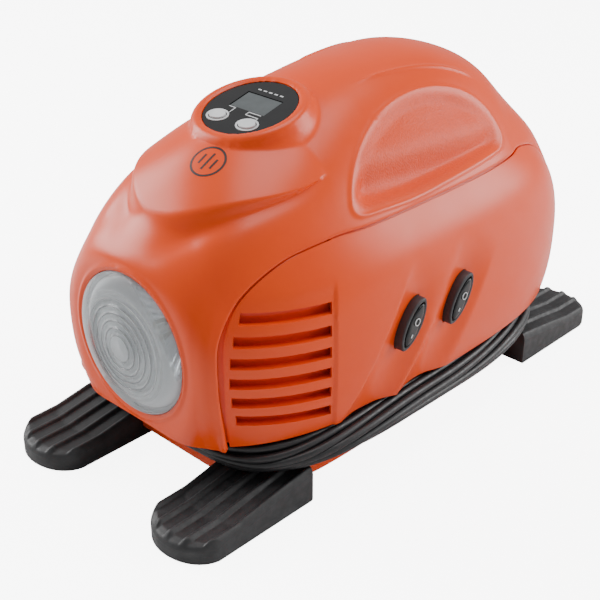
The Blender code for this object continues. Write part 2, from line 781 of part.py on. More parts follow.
def gauge():
    deep = -GAUGE_DEPTH
    panel = turned("display_panel", ((GAUGE_RADIUS, deep), (GAUGE_RADIUS, 0)), GAUGE_AT, GAUGE_AXES,
                   28, "black_gloss")
    window = ((-12.5, -3), (12.5, -3), (12.5, 11.5), (-12.5, 11.5))
    pocket = [(x * 1.03, y * 1.03) for x, y in window]
    cut = slab("window_pocket", pocket, -1.6, 3, GAUGE_AT, GAUGE_AXES)
    combine(panel, cut, "DIFFERENCE")
    slab("display_window", [(x * 0.99, y * 0.99) for x, y in window], -1.3, -0.3, GAUGE_AT,
         GAUGE_AXES, "grey_display")
    for name, x in (("units_button", -11.0), ("set_button", 11.0)):
        frame = frame_at(GAUGE_AT, *GAUGE_AXES)
        at = tuple(in_frame(frame, (x, -13.5, 0)))
        hole = slab(name + "_hole", oval(5.6, 4.1, 20), -30, 5, at, GAUGE_AXES)
        combine(panel, hole, "DIFFERENCE")
        slab(name, oval(5.3, 3.8, 20), -4.4, 1.2, at, GAUGE_AXES, "white_plastic")
    turned("display_board", ((21, -9.5), (21, -7.9)), GAUGE_AT, GAUGE_AXES, 20, "circuit_board")


def switch(prefix, y):
    place = side_point(y, SWITCH_Z)
    sides = 20
    frame = frame_at(place, *SWITCH_AXES)

    def ring(shrink, height):
        outline = leaf(SWITCH_HALF[0] - shrink, SWITCH_HALF[1] - shrink, sides)
        return in_frame(frame, np.column_stack([outline, np.full(sides, height)]))

    opening = 2.6
    rings = [ring(0.5, -5), ring(0.5, 0.7), ring(1.1, 1.4), ring(opening, 1.4), ring(opening, -5)]
    loft(prefix + "_switch_frame", rings, "dark_grey_plastic", closed=True, origin=tuple(place))
    outline = leaf(SWITCH_HALF[0] - opening - 0.5, SWITCH_HALF[1] - opening - 1.2, sides)
    slab(prefix + "_rocker", outline, -2.6, 2.4, place, SWITCH_AXES, "black_gloss")
    block = [(-4, -8.5), (4, -8.5), (4, 8.5), (-4, 8.5)]
    slab(prefix + "_switch_body", block, -20, -5.6, place, SWITCH_AXES, "dark_grey_plastic")


def gear_outline(teeth, module, start_angle):
    """Straight-flanked teeth, thin enough to leave backlash, the first one at the start angle."""
    pitch_radius = module * teeth / 2
    tip = pitch_radius + 0.85 * module
    root = pitch_radius - 1.15 * module
    step = math.tau / teeth
    outline = []
    for i in range(teeth):
        middle = start_angle + i * step
        for radius, share in ((root, -0.33), (tip, -0.12), (tip, 0.12), (root, 0.33)):
            angle = middle + share * step
            outline.append((radius * math.cos(angle), radius * math.sin(angle)))
    return outline


def pump_frame():
    plate = box("gear_frame", (-46, FRAME_Y[0], FLOOR_TOP + GAP), (50, FRAME_Y[1], SHELF_Z[1]),
                "cast_aluminium")
    foot_flange = box("frame_foot", (-46, FRAME_Y[0], FLOOR_TOP + GAP), (50, 0, FLOOR_TOP + 4))
    combine(plate, foot_flange, "UNION")
    shelf = box("frame_shelf", (-34, ROD_Y - 18, SHELF_Z[0]), (10, FRAME_Y[1], SHELF_Z[1]))
    combine(plate, shelf, "UNION")
    bores = (
        (4.1, (CRANK_X, -20, CRANK_Z), FORE_AFT),
        (6.2, (MOTOR_X, -20, CRANK_Z), FORE_AFT),
        (BORE_RADIUS + 0.6, (CRANK_X, ROD_Y, 114), UPRIGHT),
    )
    for radius, at, axes in bores:
        hole = turned("frame_bore", ((radius, -8), (radius, 8)), at, axes, 24)
        combine(plate, hole, "DIFFERENCE")
    return plate


def crank():
    axis = (CRANK_X, 0, CRANK_Z)
    # FORE_AFT measures its angle from +Z towards +X, so +X, where the pinion is, is a quarter turn.
    outline = gear_outline(GEAR_TEETH, MODULE, math.pi / 2)
    gear = slab("crank_gear", outline, GEAR_MID_Y - 3, GEAR_MID_Y + 3, axis, FORE_AFT,
                "zinc_plate")
    hub = turned("gear_bore", ((4.3, -50), (4.3, -20)), axis, FORE_AFT, 24)
    combine(gear, hub, "DIFFERENCE")
    pin_hole = turned("pin_hole", ((3.3, -50), (3.3, -20)), (CRANK_X, 0, CRANK_Z + CRANK_THROW),
                      FORE_AFT, 16)
    combine(gear, pin_hole, "DIFFERENCE")
    turned("crank_shaft", ((4, -34), (4, -14)), axis, FORE_AFT, 24, "steel")
    turned("crank_pin", ((3, -36.1), (3, -26.5)), (CRANK_X, 0, CRANK_Z + CRANK_THROW), FORE_AFT, 16,
           "steel", origin=axis)


def pump():
    top = CRANK_Z + CRANK_THROW + ROD_LENGTH
    wrist = (CRANK_X, ROD_Y, top)
    sides = 20
    piston = turned("piston", ((BORE_RADIUS - 0.1, 6), (BORE_RADIUS - 0.1, 13)), wrist, UPRIGHT,
                    sides, "cast_aluminium")
    lug_inner, lug_outer, lug_half = 2.6, 6.0, 5
    for low, high in ((-lug_outer, -lug_inner), (lug_inner, lug_outer)):
        lug_low = (CRANK_X - lug_half, ROD_Y + low, top - lug_half)
        lug_high = (CRANK_X + lug_half, ROD_Y + high, top + 8)
        combine(piston, box("piston_lug", lug_low, lug_high), "UNION")
    hole = turned("wrist_hole", ((2.8, -12), (2.8, 12)), wrist, FORE_AFT, 16)
    combine(piston, hole, "DIFFERENCE")
    pin_half = lug_outer - 0.2
    turned("wrist_pin", ((2.5, -pin_half), (2.5, pin_half)), wrist, FORE_AFT, 16, "steel")
    turned("piston_cup", ((BORE_RADIUS - 0.1, 13.3), (BORE_RADIUS - 0.4, 14.6)), wrist, UPRIGHT,
           sides, "black_rubber")
    rod_low = (CRANK_X - 3.4, ROD_Y - 2, top - ROD_LENGTH)
    rod_high = (CRANK_X + 3.4, ROD_Y + 2, top)
    rod = box("connecting_rod", rod_low, rod_high, "zinc_plate", wrist)
    for z, radius in ((top, 4.8), (top - ROD_LENGTH, 6)):
        end = turned("rod_end", ((radius, -2), (radius, 2)), (CRANK_X, ROD_Y, z), FORE_AFT, 20)
        combine(rod, end, "UNION")
    for z, radius in ((top, 2.62), (top - ROD_LENGTH, 3.1)):
        eye = turned("rod_eye", ((radius, -9), (radius, 9)), (CRANK_X, ROD_Y, z), FORE_AFT, 20)
        combine(rod, eye, "DIFFERENCE")
    low = SHELF_Z[1] + GAP
    high = top + 17.5
    fin_pitch = (high - low) / 4
    outside = [(16, low)]
    for k in range(1, 4):
        middle = low + k * fin_pitch
        outside += [(14.6, middle - 2.2), (18, middle - 1), (18, middle + 1), (14.6, middle + 2.2)]
    outside.append((16, high))
    wall = [(BORE_RADIUS, high), (BORE_RADIUS, low)]
    turned("cylinder", outside + wall, (CRANK_X, ROD_Y, 0), UPRIGHT, sides, "cast_aluminium",
           hollow=True)
    head_low = high + GAP
    turned("cylinder_head", ((17, head_low), (17, head_low + 6), (15, head_low + 8)),
           (CRANK_X, ROD_Y, 0), UPRIGHT, sides, "cast_aluminium")
    outlet_z = head_low + 4
    elbow_path = (
        (CRANK_X - 17.4, ROD_Y, outlet_z),
        (CRANK_X - 23, ROD_Y + 1, outlet_z),
        (CRANK_X - 28, ROD_Y + 6, outlet_z - 1),
        (CRANK_X - 30, ROD_Y + 12, outlet_z - 4),
    )
    tube("outlet_elbow", elbow_path, 3.5, "brass", steps=6)
    hose_path = (
        (CRANK_X - 30.4, ROD_Y + 13, outlet_z - 4.6),
        (-48, 0, 140),
        (-50, 50, 105),
        (-42, 95, 60),
        (-26, 108, 24),
        (-GLAND_X, 114, GLAND_Z + 1),
    )
    tube("inner_hose", hose_path, 2.6, "black_rubber")
    body = ((5, head_low + 8.3), (5, head_low + 14))
    nipple = ((2.4, head_low + 15), (2.4, head_low + 18))
    turned("pressure_sensor", body + nipple, (CRANK_X, ROD_Y + 4, 0), UPRIGHT, 12, "brass")


def motor():
    axis = (MOTOR_X, 0, CRANK_Z)
    front = FRAME_Y[1] + GAP
    rear = front + 56
    inner = SHAFT_RADIUS + 0.4
    can = [(MOTOR_RADIUS - 3, front), (MOTOR_RADIUS, front + 3), (MOTOR_RADIUS, rear)]
    can += [(inner, rear), (inner, front)]
    turned("motor_can", can, axis, FORE_AFT, 24, "zinc_plate", hollow=True)
    cap = [(MOTOR_RADIUS, rear + GAP), (MOTOR_RADIUS - 1, rear + 7), (8, rear + 7)]
    cap += [(7, rear + 10), (inner, rear + 10), (inner, rear + GAP)]
    turned("motor_end_cap", cap, axis, FORE_AFT, 24, "dark_grey_plastic", hollow=True)
    turned("motor_shaft", ((SHAFT_RADIUS, -34), (SHAFT_RADIUS, rear + 22)), axis, FORE_AFT, 16, "steel")
    # A tooth gap faces the crank gear, which lies towards -X.
    toward_gear = -math.pi / 2
    outline = gear_outline(PINION_TEETH, MODULE, toward_gear + math.pi / PINION_TEETH)
    pinion = slab("motor_pinion", outline, GEAR_MID_Y - 3.5, GEAR_MID_Y + 3.5, axis, FORE_AFT, "brass")
    bore_radius = SHAFT_RADIUS + GAP
    bore = turned("pinion_bore", ((bore_radius, -40), (bore_radius, -20)), axis, FORE_AFT, 16)
    combine(pinion, bore, "DIFFERENCE")
    fan_low = rear + 12
    fan = turned("cooling_fan", ((6, fan_low), (6, fan_low + 7)), axis, FORE_AFT, 20, "black_gloss")
    blade_count = 7
    for k in range(blade_count):
        angle = k * math.tau / blade_count
        across = (math.cos(angle), 0, math.sin(angle))
        slant = (-0.7 * math.sin(angle), 0.7, 0.7 * math.cos(angle))
        slant = Vector(slant).normalized()
        blade = slab("fan_blade", ((4, -3.4), (19, -4), (20, 4), (4, 3.4)), -0.6, 0.6,
                     (MOTOR_X, fan_low + 3.5, CRANK_Z), (across, tuple(slant)))
        combine(fan, blade, "UNION")
    through_fan = ((bore_radius, fan_low - 9), (bore_radius, fan_low + 19))
    fan_bore = turned("fan_bore", through_fan, axis, FORE_AFT, 16)
    combine(fan, fan_bore, "DIFFERENCE")


def power_supply():
    low = FLOOR_TOP + 3
    board = box("power_supply_board", (-18, 66, low), (44, 103, low + 1.6), "circuit_board")
    blocks = (
        ((-14, 70, low + 1), (12, 98, low + 26)),
        ((18, 72, low + 1), (28, 100, low + 20)),
        ((33, 74, low + 1), (41, 88, low + 16)),
    )
    for k, (block_low, block_high) in enumerate(blocks):
        combine(board, box(f"supply_block_{k}", block_low, block_high), "UNION")
    for x, y in ((-12, 70), (40, 99)):
        leg = box("supply_leg", (x - 2, y - 2, FLOOR_TOP + GAP), (x + 2, y + 2, low + 1))
        combine(board, leg, "UNION")


def cable_glands():
    wall_y = BASE_MID_Y + NECK_HALF[1]
    for name, x in (("cord_gland", GLAND_X), ("hose_gland", -GLAND_X)):
        profile = ((GLAND_RADIUS, -6), (GLAND_RADIUS, 12))
        turned(name, profile, (x, wall_y, GLAND_Z), FORE_AFT, 12, "black_rubber")


def stowed_ends():
    """Plastic rack between the rear feet, with the hose's chuck and the car plug clipped on it."""
    rear_y = BASE_MID_Y + PLATE_HALF[1]
    rack = box("stowage_rack", (-20, rear_y + GAP, 5), (24, 188, 8), "orange_plastic")
    stowed = ((CHUCK_AT, CHUCK_RADIUS), (PLUG_AT, PLUG_RADIUS))
    for at, radius in stowed:
        for x in (-8, 12):
            fork_low = (x - 2, at.y - radius - 2, 7)
            fork_high = (x + 2, at.y + radius + 2, at.z - 1.5)
            combine(rack, box("rack_fork", fork_low, fork_high), "UNION")
    for at, radius in stowed:
        seat = turned("rack_seat", ((radius + GAP, -30), (radius + GAP, 30)), tuple(at), SIDEWAYS, 16)
        combine(rack, seat, "DIFFERENCE")
    outside = ((5, -17), (CHUCK_RADIUS, -13), (CHUCK_RADIUS, 12), (6, 15), (6, 19))
    chuck = turned("chuck_body", outside, tuple(CHUCK_AT), SIDEWAYS, 16, "black_gloss")
    bore = turned("chuck_bore", ((3.9, 6), (3.9, 30)), tuple(CHUCK_AT), SIDEWAYS, 12)
    combine(chuck, bore, "DIFFERENCE")
    for low, high in ((-5.5, -3.6), (3.6, 5.5)):
        ear = box("chuck_ear", (CHUCK_AT.x + 4, CHUCK_AT.y + low, CHUCK_AT.z),
                  (CHUCK_AT.x + 12, CHUCK_AT.y + high, CHUCK_AT.z + 13))
        combine(chuck, ear, "UNION")
    pivot = (CHUCK_AT.x + 8, CHUCK_AT.y, CHUCK_AT.z + 10)
    pin_hole = turned("lever_pin_hole", ((1.4, -12), (1.4, 12)), pivot, FORE_AFT, 12)
    combine(chuck, pin_hole, "DIFFERENCE")
    turned("chuck_pin", ((1.1, -5.4), (1.1, 5.4)), pivot, FORE_AFT, 12, "steel")
    lever = box("chuck_lever", (pivot[0] - 30, pivot[1] - 3.2, pivot[2] - 1.4),
                (pivot[0] + 1.8, pivot[1] + 3.2, pivot[2] + 1.4), "steel", pivot)
    eye = turned("lever_eye", ((1.25, -9), (1.25, 9)), pivot, FORE_AFT, 12)
    combine(lever, eye, "DIFFERENCE")
    outside = ((5, 20), (PLUG_RADIUS, 15), (PLUG_RADIUS, -12), (5.6, -15), (5.6, -20))
    plug = turned("dc_plug_body", outside, tuple(PLUG_AT), SIDEWAYS, 16, "dark_grey_plastic")
    bore = turned("plug_bore", ((2.6, -12), (2.6, -30)), tuple(PLUG_AT), SIDEWAYS, 12)
    combine(plug, bore, "DIFFERENCE")
    turned("dc_plug_tip", ((2.3, -14.5), (2.3, -23), (1.2, -25)), tuple(PLUG_AT), SIDEWAYS, 12, "steel")
    gland_y = BASE_MID_Y + NECK_HALF[1] + 12 + GAP
    hose_path = (
        (-GLAND_X, gland_y, GLAND_Z),
        (-GLAND_X - 0.5, gland_y + 5, GLAND_Z),
        (-28, 153, 14),
        (-30, 168, 17),
        (CHUCK_AT.x - 22, CHUCK_AT.y, CHUCK_AT.z),
        (CHUCK_AT.x - 18, CHUCK_AT.y, CHUCK_AT.z),
    )
    tube("air_hose", hose_path, 2.9, "black_rubber", steps=14)
    cord_path = (
        (GLAND_X, gland_y, GLAND_Z),
        (GLAND_X + 0.5, gland_y + 5, GLAND_Z),
        (27, 149, 14),
        (32, 157, 17),
        (PLUG_AT.x + 24, PLUG_AT.y, PLUG_AT.z),
        (PLUG_AT.x + 21, PLUG_AT.y, PLUG_AT.z),
    )
    tube("plug_cord", cord_path, 2.5, "cord_rubber", steps=14)


def build():
    clear_scene()
    top_cover()
    side_panel("right_side_panel", 1)
    side_panel("left_side_panel", -1)
    base_tray()
    base_screws()
    feet()
    cord_bundle()
    lamp()
    gauge()
    switch("front", SWITCH_Y[0])
    switch("rear", SWITCH_Y[1])
    pump_frame()
    crank()
    pump()
    motor()
    power_supply()
    cable_glands()
    stowed_ends()


build()
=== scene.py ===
import json
import math
import random

import bpy
import numpy as np
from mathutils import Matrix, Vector
from mathutils.bvhtree import BVHTree


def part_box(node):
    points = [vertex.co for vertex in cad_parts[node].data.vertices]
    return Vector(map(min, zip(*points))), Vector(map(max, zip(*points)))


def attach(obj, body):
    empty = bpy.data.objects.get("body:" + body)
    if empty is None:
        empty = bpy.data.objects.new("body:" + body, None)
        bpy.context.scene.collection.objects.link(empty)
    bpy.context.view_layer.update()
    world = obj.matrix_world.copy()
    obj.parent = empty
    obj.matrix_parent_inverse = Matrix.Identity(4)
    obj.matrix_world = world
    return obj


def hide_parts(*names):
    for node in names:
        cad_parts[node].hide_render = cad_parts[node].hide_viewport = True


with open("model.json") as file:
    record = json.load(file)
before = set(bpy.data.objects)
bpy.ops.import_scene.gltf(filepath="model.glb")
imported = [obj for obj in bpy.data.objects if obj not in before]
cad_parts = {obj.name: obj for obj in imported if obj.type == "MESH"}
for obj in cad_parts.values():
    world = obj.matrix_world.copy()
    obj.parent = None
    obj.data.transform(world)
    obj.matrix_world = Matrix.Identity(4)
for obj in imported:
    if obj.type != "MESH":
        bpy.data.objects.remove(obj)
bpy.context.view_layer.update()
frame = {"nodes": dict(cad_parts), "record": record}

# Lengths are in millimetres from the body's widest section, like the CAD model's driving
# dimensions, and become metres in the CAD frame in mesh_object().
MM = 0.001
MIDDLE = np.array((0, 9, 0))
WALL = 2.5
SHARP_ANGLE = math.radians(38)


def cad_box(node):
    """Lowest and highest corner of a CAD node, in millimetres from the widest section."""
    low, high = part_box(node)
    return np.array(low) / MM + MIDDLE, np.array(high) / MM + MIDDLE


def cad_centre(node):
    low, high = cad_box(node)
    return (low + high) / 2


# ---- driving dimensions of the skin, as in the CAD model ---------------------------------------
HALF_WIDTH = 89.0
FRONT_REACH = 150.0
REAR_REACH = 167.0
FRONT_POWER = 2.7
REAR_POWER = 3.5
HEIGHT_POWER = 2.5
WAIST_Z = 80.0
RISE = 92.0
DROP = 102.0
BODY_BOTTOM = 42.3
FRONT_LIMB = -56.0
REAR_LIMB = 60.0
SHOULDER_Z = 143.0
FRONT_CORNER = (32.0, 34.0)
REAR_CORNER = (20.0, 28.0)
SEAM_SHARES = (0, 0.19, 0.375, 0.75, 0.875, 1)
NOSE = (-147.0, 84.0)
CREST = (48.0, 204.0)
TAIL = (163.0, 72.0)
NOSE_PULL = 0.6
CREST_PULLS = (0.58, 0.74)
TAIL_PULL = 0.46
TUCK = 6.0
SPINE_SHARES = (0.12, 0.6, 0.93)
LINE_STEPS = 16
ARRIVAL_OUT = (0.62, 0.5)
ARRIVAL_FORE = 0.78
ARRIVAL_DOWN = 0.86
ARRIVAL_PULL = 1.3

# ---- gauge, lamp, vents and switches, from the frame --------------------------------------------
GAUGE_TILT = math.radians(14.7)
GAUGE_NORMAL = np.array((0, -math.sin(GAUGE_TILT), math.cos(GAUGE_TILT)))
GAUGE_ALONG = np.array((0, math.cos(GAUGE_TILT), math.sin(GAUGE_TILT)))
GAUGE_RADIUS = (cad_box("display_panel")[1][0] - cad_box("display_panel")[0][0]) / 2
GAUGE_DEPTH = 5.0
GAUGE_AT = cad_centre("display_panel") + GAUGE_NORMAL * GAUGE_DEPTH / 2
LENS_RADIUS = (cad_box("lamp_lens")[1][0] - cad_box("lamp_lens")[0][0]) / 2
LENS_DOME = 8.0
LENS_AT = np.array((0, cad_box("lamp_lens")[0][1] + LENS_DOME, cad_centre("lamp_lens")[2]))
VENT_COUNT = 6
VENT_THICKNESS = 6.0
VENT_REAR_ANGLE = -24.5
VENT_FRONT_ANGLE = -54.0
VENT_FRONT_BOW = 0.3  # the slots' front ends follow the seam's curve
VENT_TOP_Z = (116.3, 112.9)
VENT_PITCH = (11.1, 11.8)
SWITCH_LEAN = math.radians(33)
SWITCH_HALF = (7.6, 16.0)
SWITCH_PLACES = [cad_centre("front_rocker"), cad_centre("rear_rocker")]


# ---- curves and surfaces ---------------------------------------------------------------------


def smooth(low, high, value):
    """0 below low, 1 above high, with a soft change between."""
    t = np.clip((np.asarray(value, float) - low) / (high - low), 0, 1)
    return t * t * (3 - 2 * t)


def bell(value, width):
    return np.exp(-((np.asarray(value, float) / width) ** 2))


def drop(share):
    """How far a quarter round has fallen, as a share of its radius, at a share of the way out."""
    return 1 - np.sqrt(np.clip(1 - share**2, 0, 1))


def unit(vectors):
    return vectors / np.maximum(np.linalg.norm(vectors, axis=-1, keepdims=True), 1e-9)


def through(points, share):
    """A smooth curve through evenly shared points, at each share from 0 to 1."""
    points = np.asarray(points, float)
    spans = len(points) - 1
    padded = np.vstack([2 * points[0] - points[1], points, 2 * points[-1] - points[-2]])
    place = np.clip(np.asarray(share, float), 0, 1) * spans
    first = np.minimum(place.astype(int), spans - 1)
    t = (place - first)[..., None]
    a, b, c, d = (padded[first + k] for k in range(4))
    return 0.5 * (
        2 * b + (c - a) * t + (2 * a - 5 * b + 4 * c - d) * t**2 + (3 * b - a - 3 * c + d) * t**3
    )


def seam_turn(share):
    """How far the seam has turned in radians along its course."""
    return np.radians(np.interp(share, SEAM_SHARES, (0, 0, 90, 90, 180, 180)))


def seam_line():
    """Places along the seam: angle round the body in degrees, and height."""
    share = np.linspace(0, 1, LINE_STEPS + 1)
    turn = seam_turn(share)
    first_turn = np.minimum(turn, np.pi / 2)
    last_turn = np.maximum(turn, np.pi / 2)
    shoulder = REAR_LIMB - REAR_CORNER[0] - FRONT_LIMB - FRONT_CORNER[0]
    angle = FRONT_LIMB + FRONT_CORNER[0] * (1 - np.cos(first_turn))
    angle += shoulder * np.interp(share, SEAM_SHARES[2:4], (0, 1))
    angle -= REAR_CORNER[0] * np.cos(last_turn)
    front_limb = (SHOULDER_Z - FRONT_CORNER[1] - BODY_BOTTOM) * np.minimum(share / SEAM_SHARES[1], 1)
    rear_limb = (SHOULDER_Z - REAR_CORNER[1] - BODY_BOTTOM) * np.minimum(
        (1 - share) / (1 - SEAM_SHARES[4]), 1
    )
    front = BODY_BOTTOM + front_limb + FRONT_CORNER[1] * np.sin(first_turn)
    rear = BODY_BOTTOM + rear_limb + REAR_CORNER[1] * np.sin(last_turn)
    return np.stack([angle, np.minimum(front, rear)], axis=-1)


def arc(first, first_handle, last_handle, last, share):
    """A cubic curve between two places, with a handle for each end."""
    t = np.clip(share, 0, 1)[:, None]
    return (
        (1 - t) ** 3 * np.asarray(first)
        + 3 * (1 - t) ** 2 * t * np.asarray(first_handle)
        + 3 * (1 - t) * t**2 * np.asarray(last_handle)
        + t**3 * np.asarray(last)
    )


def spine_line():
    """Places along the top of the cover: distance back and height."""
    share = np.linspace(0, 1, LINE_STEPS + 1)
    nose_share, crest_share, tail_share = SPINE_SHARES
    front = arc(
        NOSE,
        (NOSE[0], NOSE[1] + NOSE_PULL * (CREST[1] - NOSE[1])),
        (CREST[0] - CREST_PULLS[0] * (CREST[0] - NOSE[0]), CREST[1]),
        CREST,
        (share - nose_share) / (crest_share - nose_share),
    )
    rear = arc(
        CREST,
        (CREST[0] + CREST_PULLS[1] * (TAIL[0] - CREST[0]), CREST[1]),
        (TAIL[0], TAIL[1] + TAIL_PULL * (CREST[1] - TAIL[1])),
        TAIL,
        (share - crest_share) / (tail_share - crest_share),
    )
    line = np.where(share[:, None] < crest_share, front, rear)
    for low, way, depth in (
        (share < nose_share, 1, 1 - share / nose_share),
        (share > tail_share, -1, (share - tail_share) / (1 - tail_share)),
    ):
        end = NOSE if way > 0 else TAIL
        line[low, 0] += way * TUCK * depth[low] ** 2
        line[low, 1] += (BODY_BOTTOM - end[1]) * depth[low]
    return line


def arrival_line():
    """Direction in which the cover meets the seam, at places along it."""
    turn = seam_turn(np.linspace(0, 1, LINE_STEPS + 1))
    out = ARRIVAL_OUT[0] + (ARRIVAL_OUT[1] - ARRIVAL_OUT[0]) * np.sin(turn)
    return np.stack([out, ARRIVAL_FORE * np.cos(turn), -ARRIVAL_DOWN * np.sin(turn)], axis=-1)


SEAM = seam_line()
SPINE = spine_line()
ARRIVAL = arrival_line()


def girth(z):
    """Share of the body's full width at a height."""
    reach = np.where(z > WAIST_Z, RISE, DROP)
    return np.maximum(1 - np.abs((z - WAIST_Z) / reach) ** HEIGHT_POWER, 0) ** (1 / HEIGHT_POWER)


def side_surface(angle, z, grow=0.0):
    """The body's side: angle in degrees round it, from -90 at the lamp to +90 at the rear."""
    turn = np.radians(angle)
    power = np.where(turn < 0, FRONT_POWER, REAR_POWER)
    reach = np.where(turn < 0, FRONT_REACH, REAR_REACH)
    share = girth(z)
    x = (HALF_WIDTH * share + grow) * np.abs(np.cos(turn)) ** (2 / power)
    y = (reach * share + grow) * np.sign(turn) * np.abs(np.sin(turn)) ** (2 / power)
    return np.stack([x, y, z + 0 * x], axis=-1)


def cover_surface(share, across):
    """The cover: share from the front edge over the top to the rear edge, across from seam to
    seam. Each cross curve leaves the top line level and arrives at the seam as the seam asks."""
    spine = through(SPINE, share)
    start = np.stack([0 * share, spine[..., 0], spine[..., 1]], axis=-1)
    seam = through(SEAM, share)
    end = side_surface(seam[..., 0], seam[..., 1])
    arrive = through(ARRIVAL, share)
    reach = np.linalg.norm(end - start, axis=-1, keepdims=True) * ARRIVAL_PULL
    leave = np.zeros_like(start)
    leave[..., 0] = 1
    t = np.abs(across)[..., None]
    place = (
        (2 * t**3 - 3 * t**2 + 1) * start
        + (t**3 - 2 * t**2 + t) * reach * leave
        + (3 * t**2 - 2 * t**3) * end
        + (t**3 - t**2) * reach * arrive
    )
    place[..., 0] *= np.where(across < 0, -1, 1)
    return place


def panel_place(along, up):
    """Angle round the body and height at a share along and up the side panel."""
    front_share, rear_share = SEAM_SHARES[2:4]
    front = through(SEAM, up * front_share)
    rear = through(SEAM, 1 - up * (1 - rear_share))
    top = through(SEAM, front_share + along * (rear_share - front_share))
    top_first = through(SEAM, np.array(front_share))
    top_last = through(SEAM, np.array(rear_share))
    a = along[..., None]
    u = up[..., None]
    bottom = SEAM[0] * (1 - a) + SEAM[-1] * a
    corners = (1 - a) * (1 - u) * SEAM[0] + a * (1 - u) * SEAM[-1]
    corners = corners + (1 - a) * u * top_first + a * u * top_last
    return front * (1 - a) + rear * a + bottom * (1 - u) + top * u - corners


def grid_normals(grid, inside):
    """Unit normals of a grid of points, facing away from the point inside."""
    normal = unit(np.cross(np.gradient(grid, axis=0), np.gradient(grid, axis=1)))
    rows, columns = grid.shape[:2]
    middle = (rows // 2, columns // 2)
    if np.dot(normal[middle], grid[middle] - np.asarray(inside, float)) < 0:
        normal = -normal
    return normal


# ---- building meshes ---------------------------------------------------------------------------


def mesh_object(name, points, faces, material=None, soft=True):
    """An object from points in millimetres."""
    mesh = bpy.data.meshes.new(name)
    shifted = (np.asarray(points, float) - MIDDLE) * MM
    mesh.from_pydata(shifted.tolist(), [], faces)
    mesh.validate()
    mesh.update()
    if soft:
        mesh.shade_smooth()
        mesh.set_sharp_from_angle(angle=SHARP_ANGLE)
    obj = bpy.data.objects.new(name, mesh)
    bpy.context.scene.collection.objects.link(obj)
    if material:
        mesh.materials.append(material)
    return obj


def place_piece(obj, body="housing", stands_for=()):
    """Hides the CAD nodes a finished piece stands for and parents the piece under its body."""
    if stands_for:
        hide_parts(*stands_for)
    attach(obj, body)
    return obj


def grid_faces(rows, columns, closed=False, offset=0, flip=False):
    """Quads of a grid of points. A closed grid joins its last column to its first."""
    faces = []
    spans = columns if closed else columns - 1
    for i in range(rows - 1):
        for j in range(spans):
            k = (j + 1) % columns
            a = offset + i * columns
            b = a + columns
            quad = (a + j, a + k, b + k, b + j)
            faces.append(quad[::-1] if flip else quad)
    return faces


def edge_of(rows, columns):
    """Numbers of a grid's border points, in order round it."""
    edge = [i * columns for i in range(rows)]
    edge += [(rows - 1) * columns + j for j in range(1, columns)]
    edge += [i * columns + columns - 1 for i in range(rows - 2, -1, -1)]
    edge += list(range(columns - 2, 0, -1))
    return edge


def signed_volume(points, faces):
    """Six times the volume inside the faces, negative where they face in."""
    points = np.asarray(points, float)
    points = points - points.mean(axis=0)
    total = 0.0
    for size in {len(face) for face in faces}:
        group = points[np.array([face for face in faces if len(face) == size])]
        for k in range(1, size - 1):
            cross = np.cross(group[:, k], group[:, k + 1])
            total += float((group[:, 0] * cross).sum())
    return total


def outward(points, faces):
    if signed_volume(points, faces) < 0:
        return [tuple(reversed(face)) for face in faces]
    return faces


def shell(name, grid, back, material, stipple_and_painted_shade=None):
    """A closed sheet between a grid of outer points and a grid of points behind it. Grain marks
    where the surface is stippled."""
    rows, columns = grid.shape[:2]
    half = rows * columns
    faces = grid_faces(rows, columns) + grid_faces(rows, columns, offset=half, flip=True)
    edge = edge_of(rows, columns)
    faces += [(a, b, half + b, half + a)[::-1] for a, b in zip(edge, edge[1:] + edge[:1])]
    points = np.concatenate([grid.reshape(-1, 3), back.reshape(-1, 3)])
    obj = mesh_object(name, points, outward(points, faces), material)
    if stipple_and_painted_shade is not None:
        values = np.concatenate([stipple_and_painted_shade.ravel(), np.zeros(half)])
        layer = obj.data.attributes.new("stipple_and_painted_shade", "FLOAT", "POINT")
        layer.data.foreach_set("value", values.astype(np.float32))
    return obj


def loft(name, rings, material, closed=False, soft=True):
    """A solid through rings of equally many points, with end caps unless the loft is closed."""
    count, size = len(rings), len(rings[0])
    points = np.concatenate([np.asarray(ring, float) for ring in rings])
    faces = grid_faces(count, size, closed=True)
    last = (count - 1) * size
    if closed:
        faces += [(last + j, last + (j + 1) % size, (j + 1) % size, j) for j in range(size)]
    else:
        faces += [tuple(reversed(range(size))), tuple(range(last, last + size))]
    return mesh_object(name, points, outward(points, faces), material, soft)


def frame_at(centre, across, along):
    across = np.asarray(across, float)
    along = np.asarray(along, float)
    return np.column_stack([across, along, np.cross(across, along), np.asarray(centre, float)])


def in_frame(axes, points):
    return np.asarray(points, float) @ axes[:, :3].T + axes[:, 3]


def level(outline, height):
    outline = np.asarray(outline, float)
    return np.column_stack([outline, np.full(len(outline), height)])


def turned(name, profile, axes, sides, material):
    """A solid of revolution about the frame's normal, from (radius, height) pairs."""
    turn = np.arange(sides) * math.tau / sides
    rings = []
    for radius, height in profile:
        circle = np.column_stack([radius * np.cos(turn), radius * np.sin(turn)])
        rings.append(in_frame(axes, level(circle, height)))
    return loft(name, rings, material)


def slab(name, outline, low, high, axes, material, soft=False):
    rings = [in_frame(axes, level(outline, height)) for height in (low, high)]
    return loft(name, rings, material, False, soft)


def oval(half_x, half_y, sides, power=2.0, mid_y=0.0):
    """A closed oval, squarer for a higher power."""
    turn = (np.arange(sides) + 0.5) * math.tau / sides
    c, s = np.cos(turn), np.sin(turn)
    x = half_x * np.sign(c) * np.abs(c) ** (2 / power)
    y = half_y * np.sign(s) * np.abs(s) ** (2 / power) + mid_y
    return np.column_stack([x, y])


def leaf(half_width, half_length, sides):
    """A pointed oval, its long axis along the second direction."""
    turn = np.arange(sides) * math.tau / sides
    y = half_length * np.sin(turn)
    x = half_width * np.cos(turn) * np.abs(np.cos(turn)) ** 0.25
    return np.column_stack([x, y])


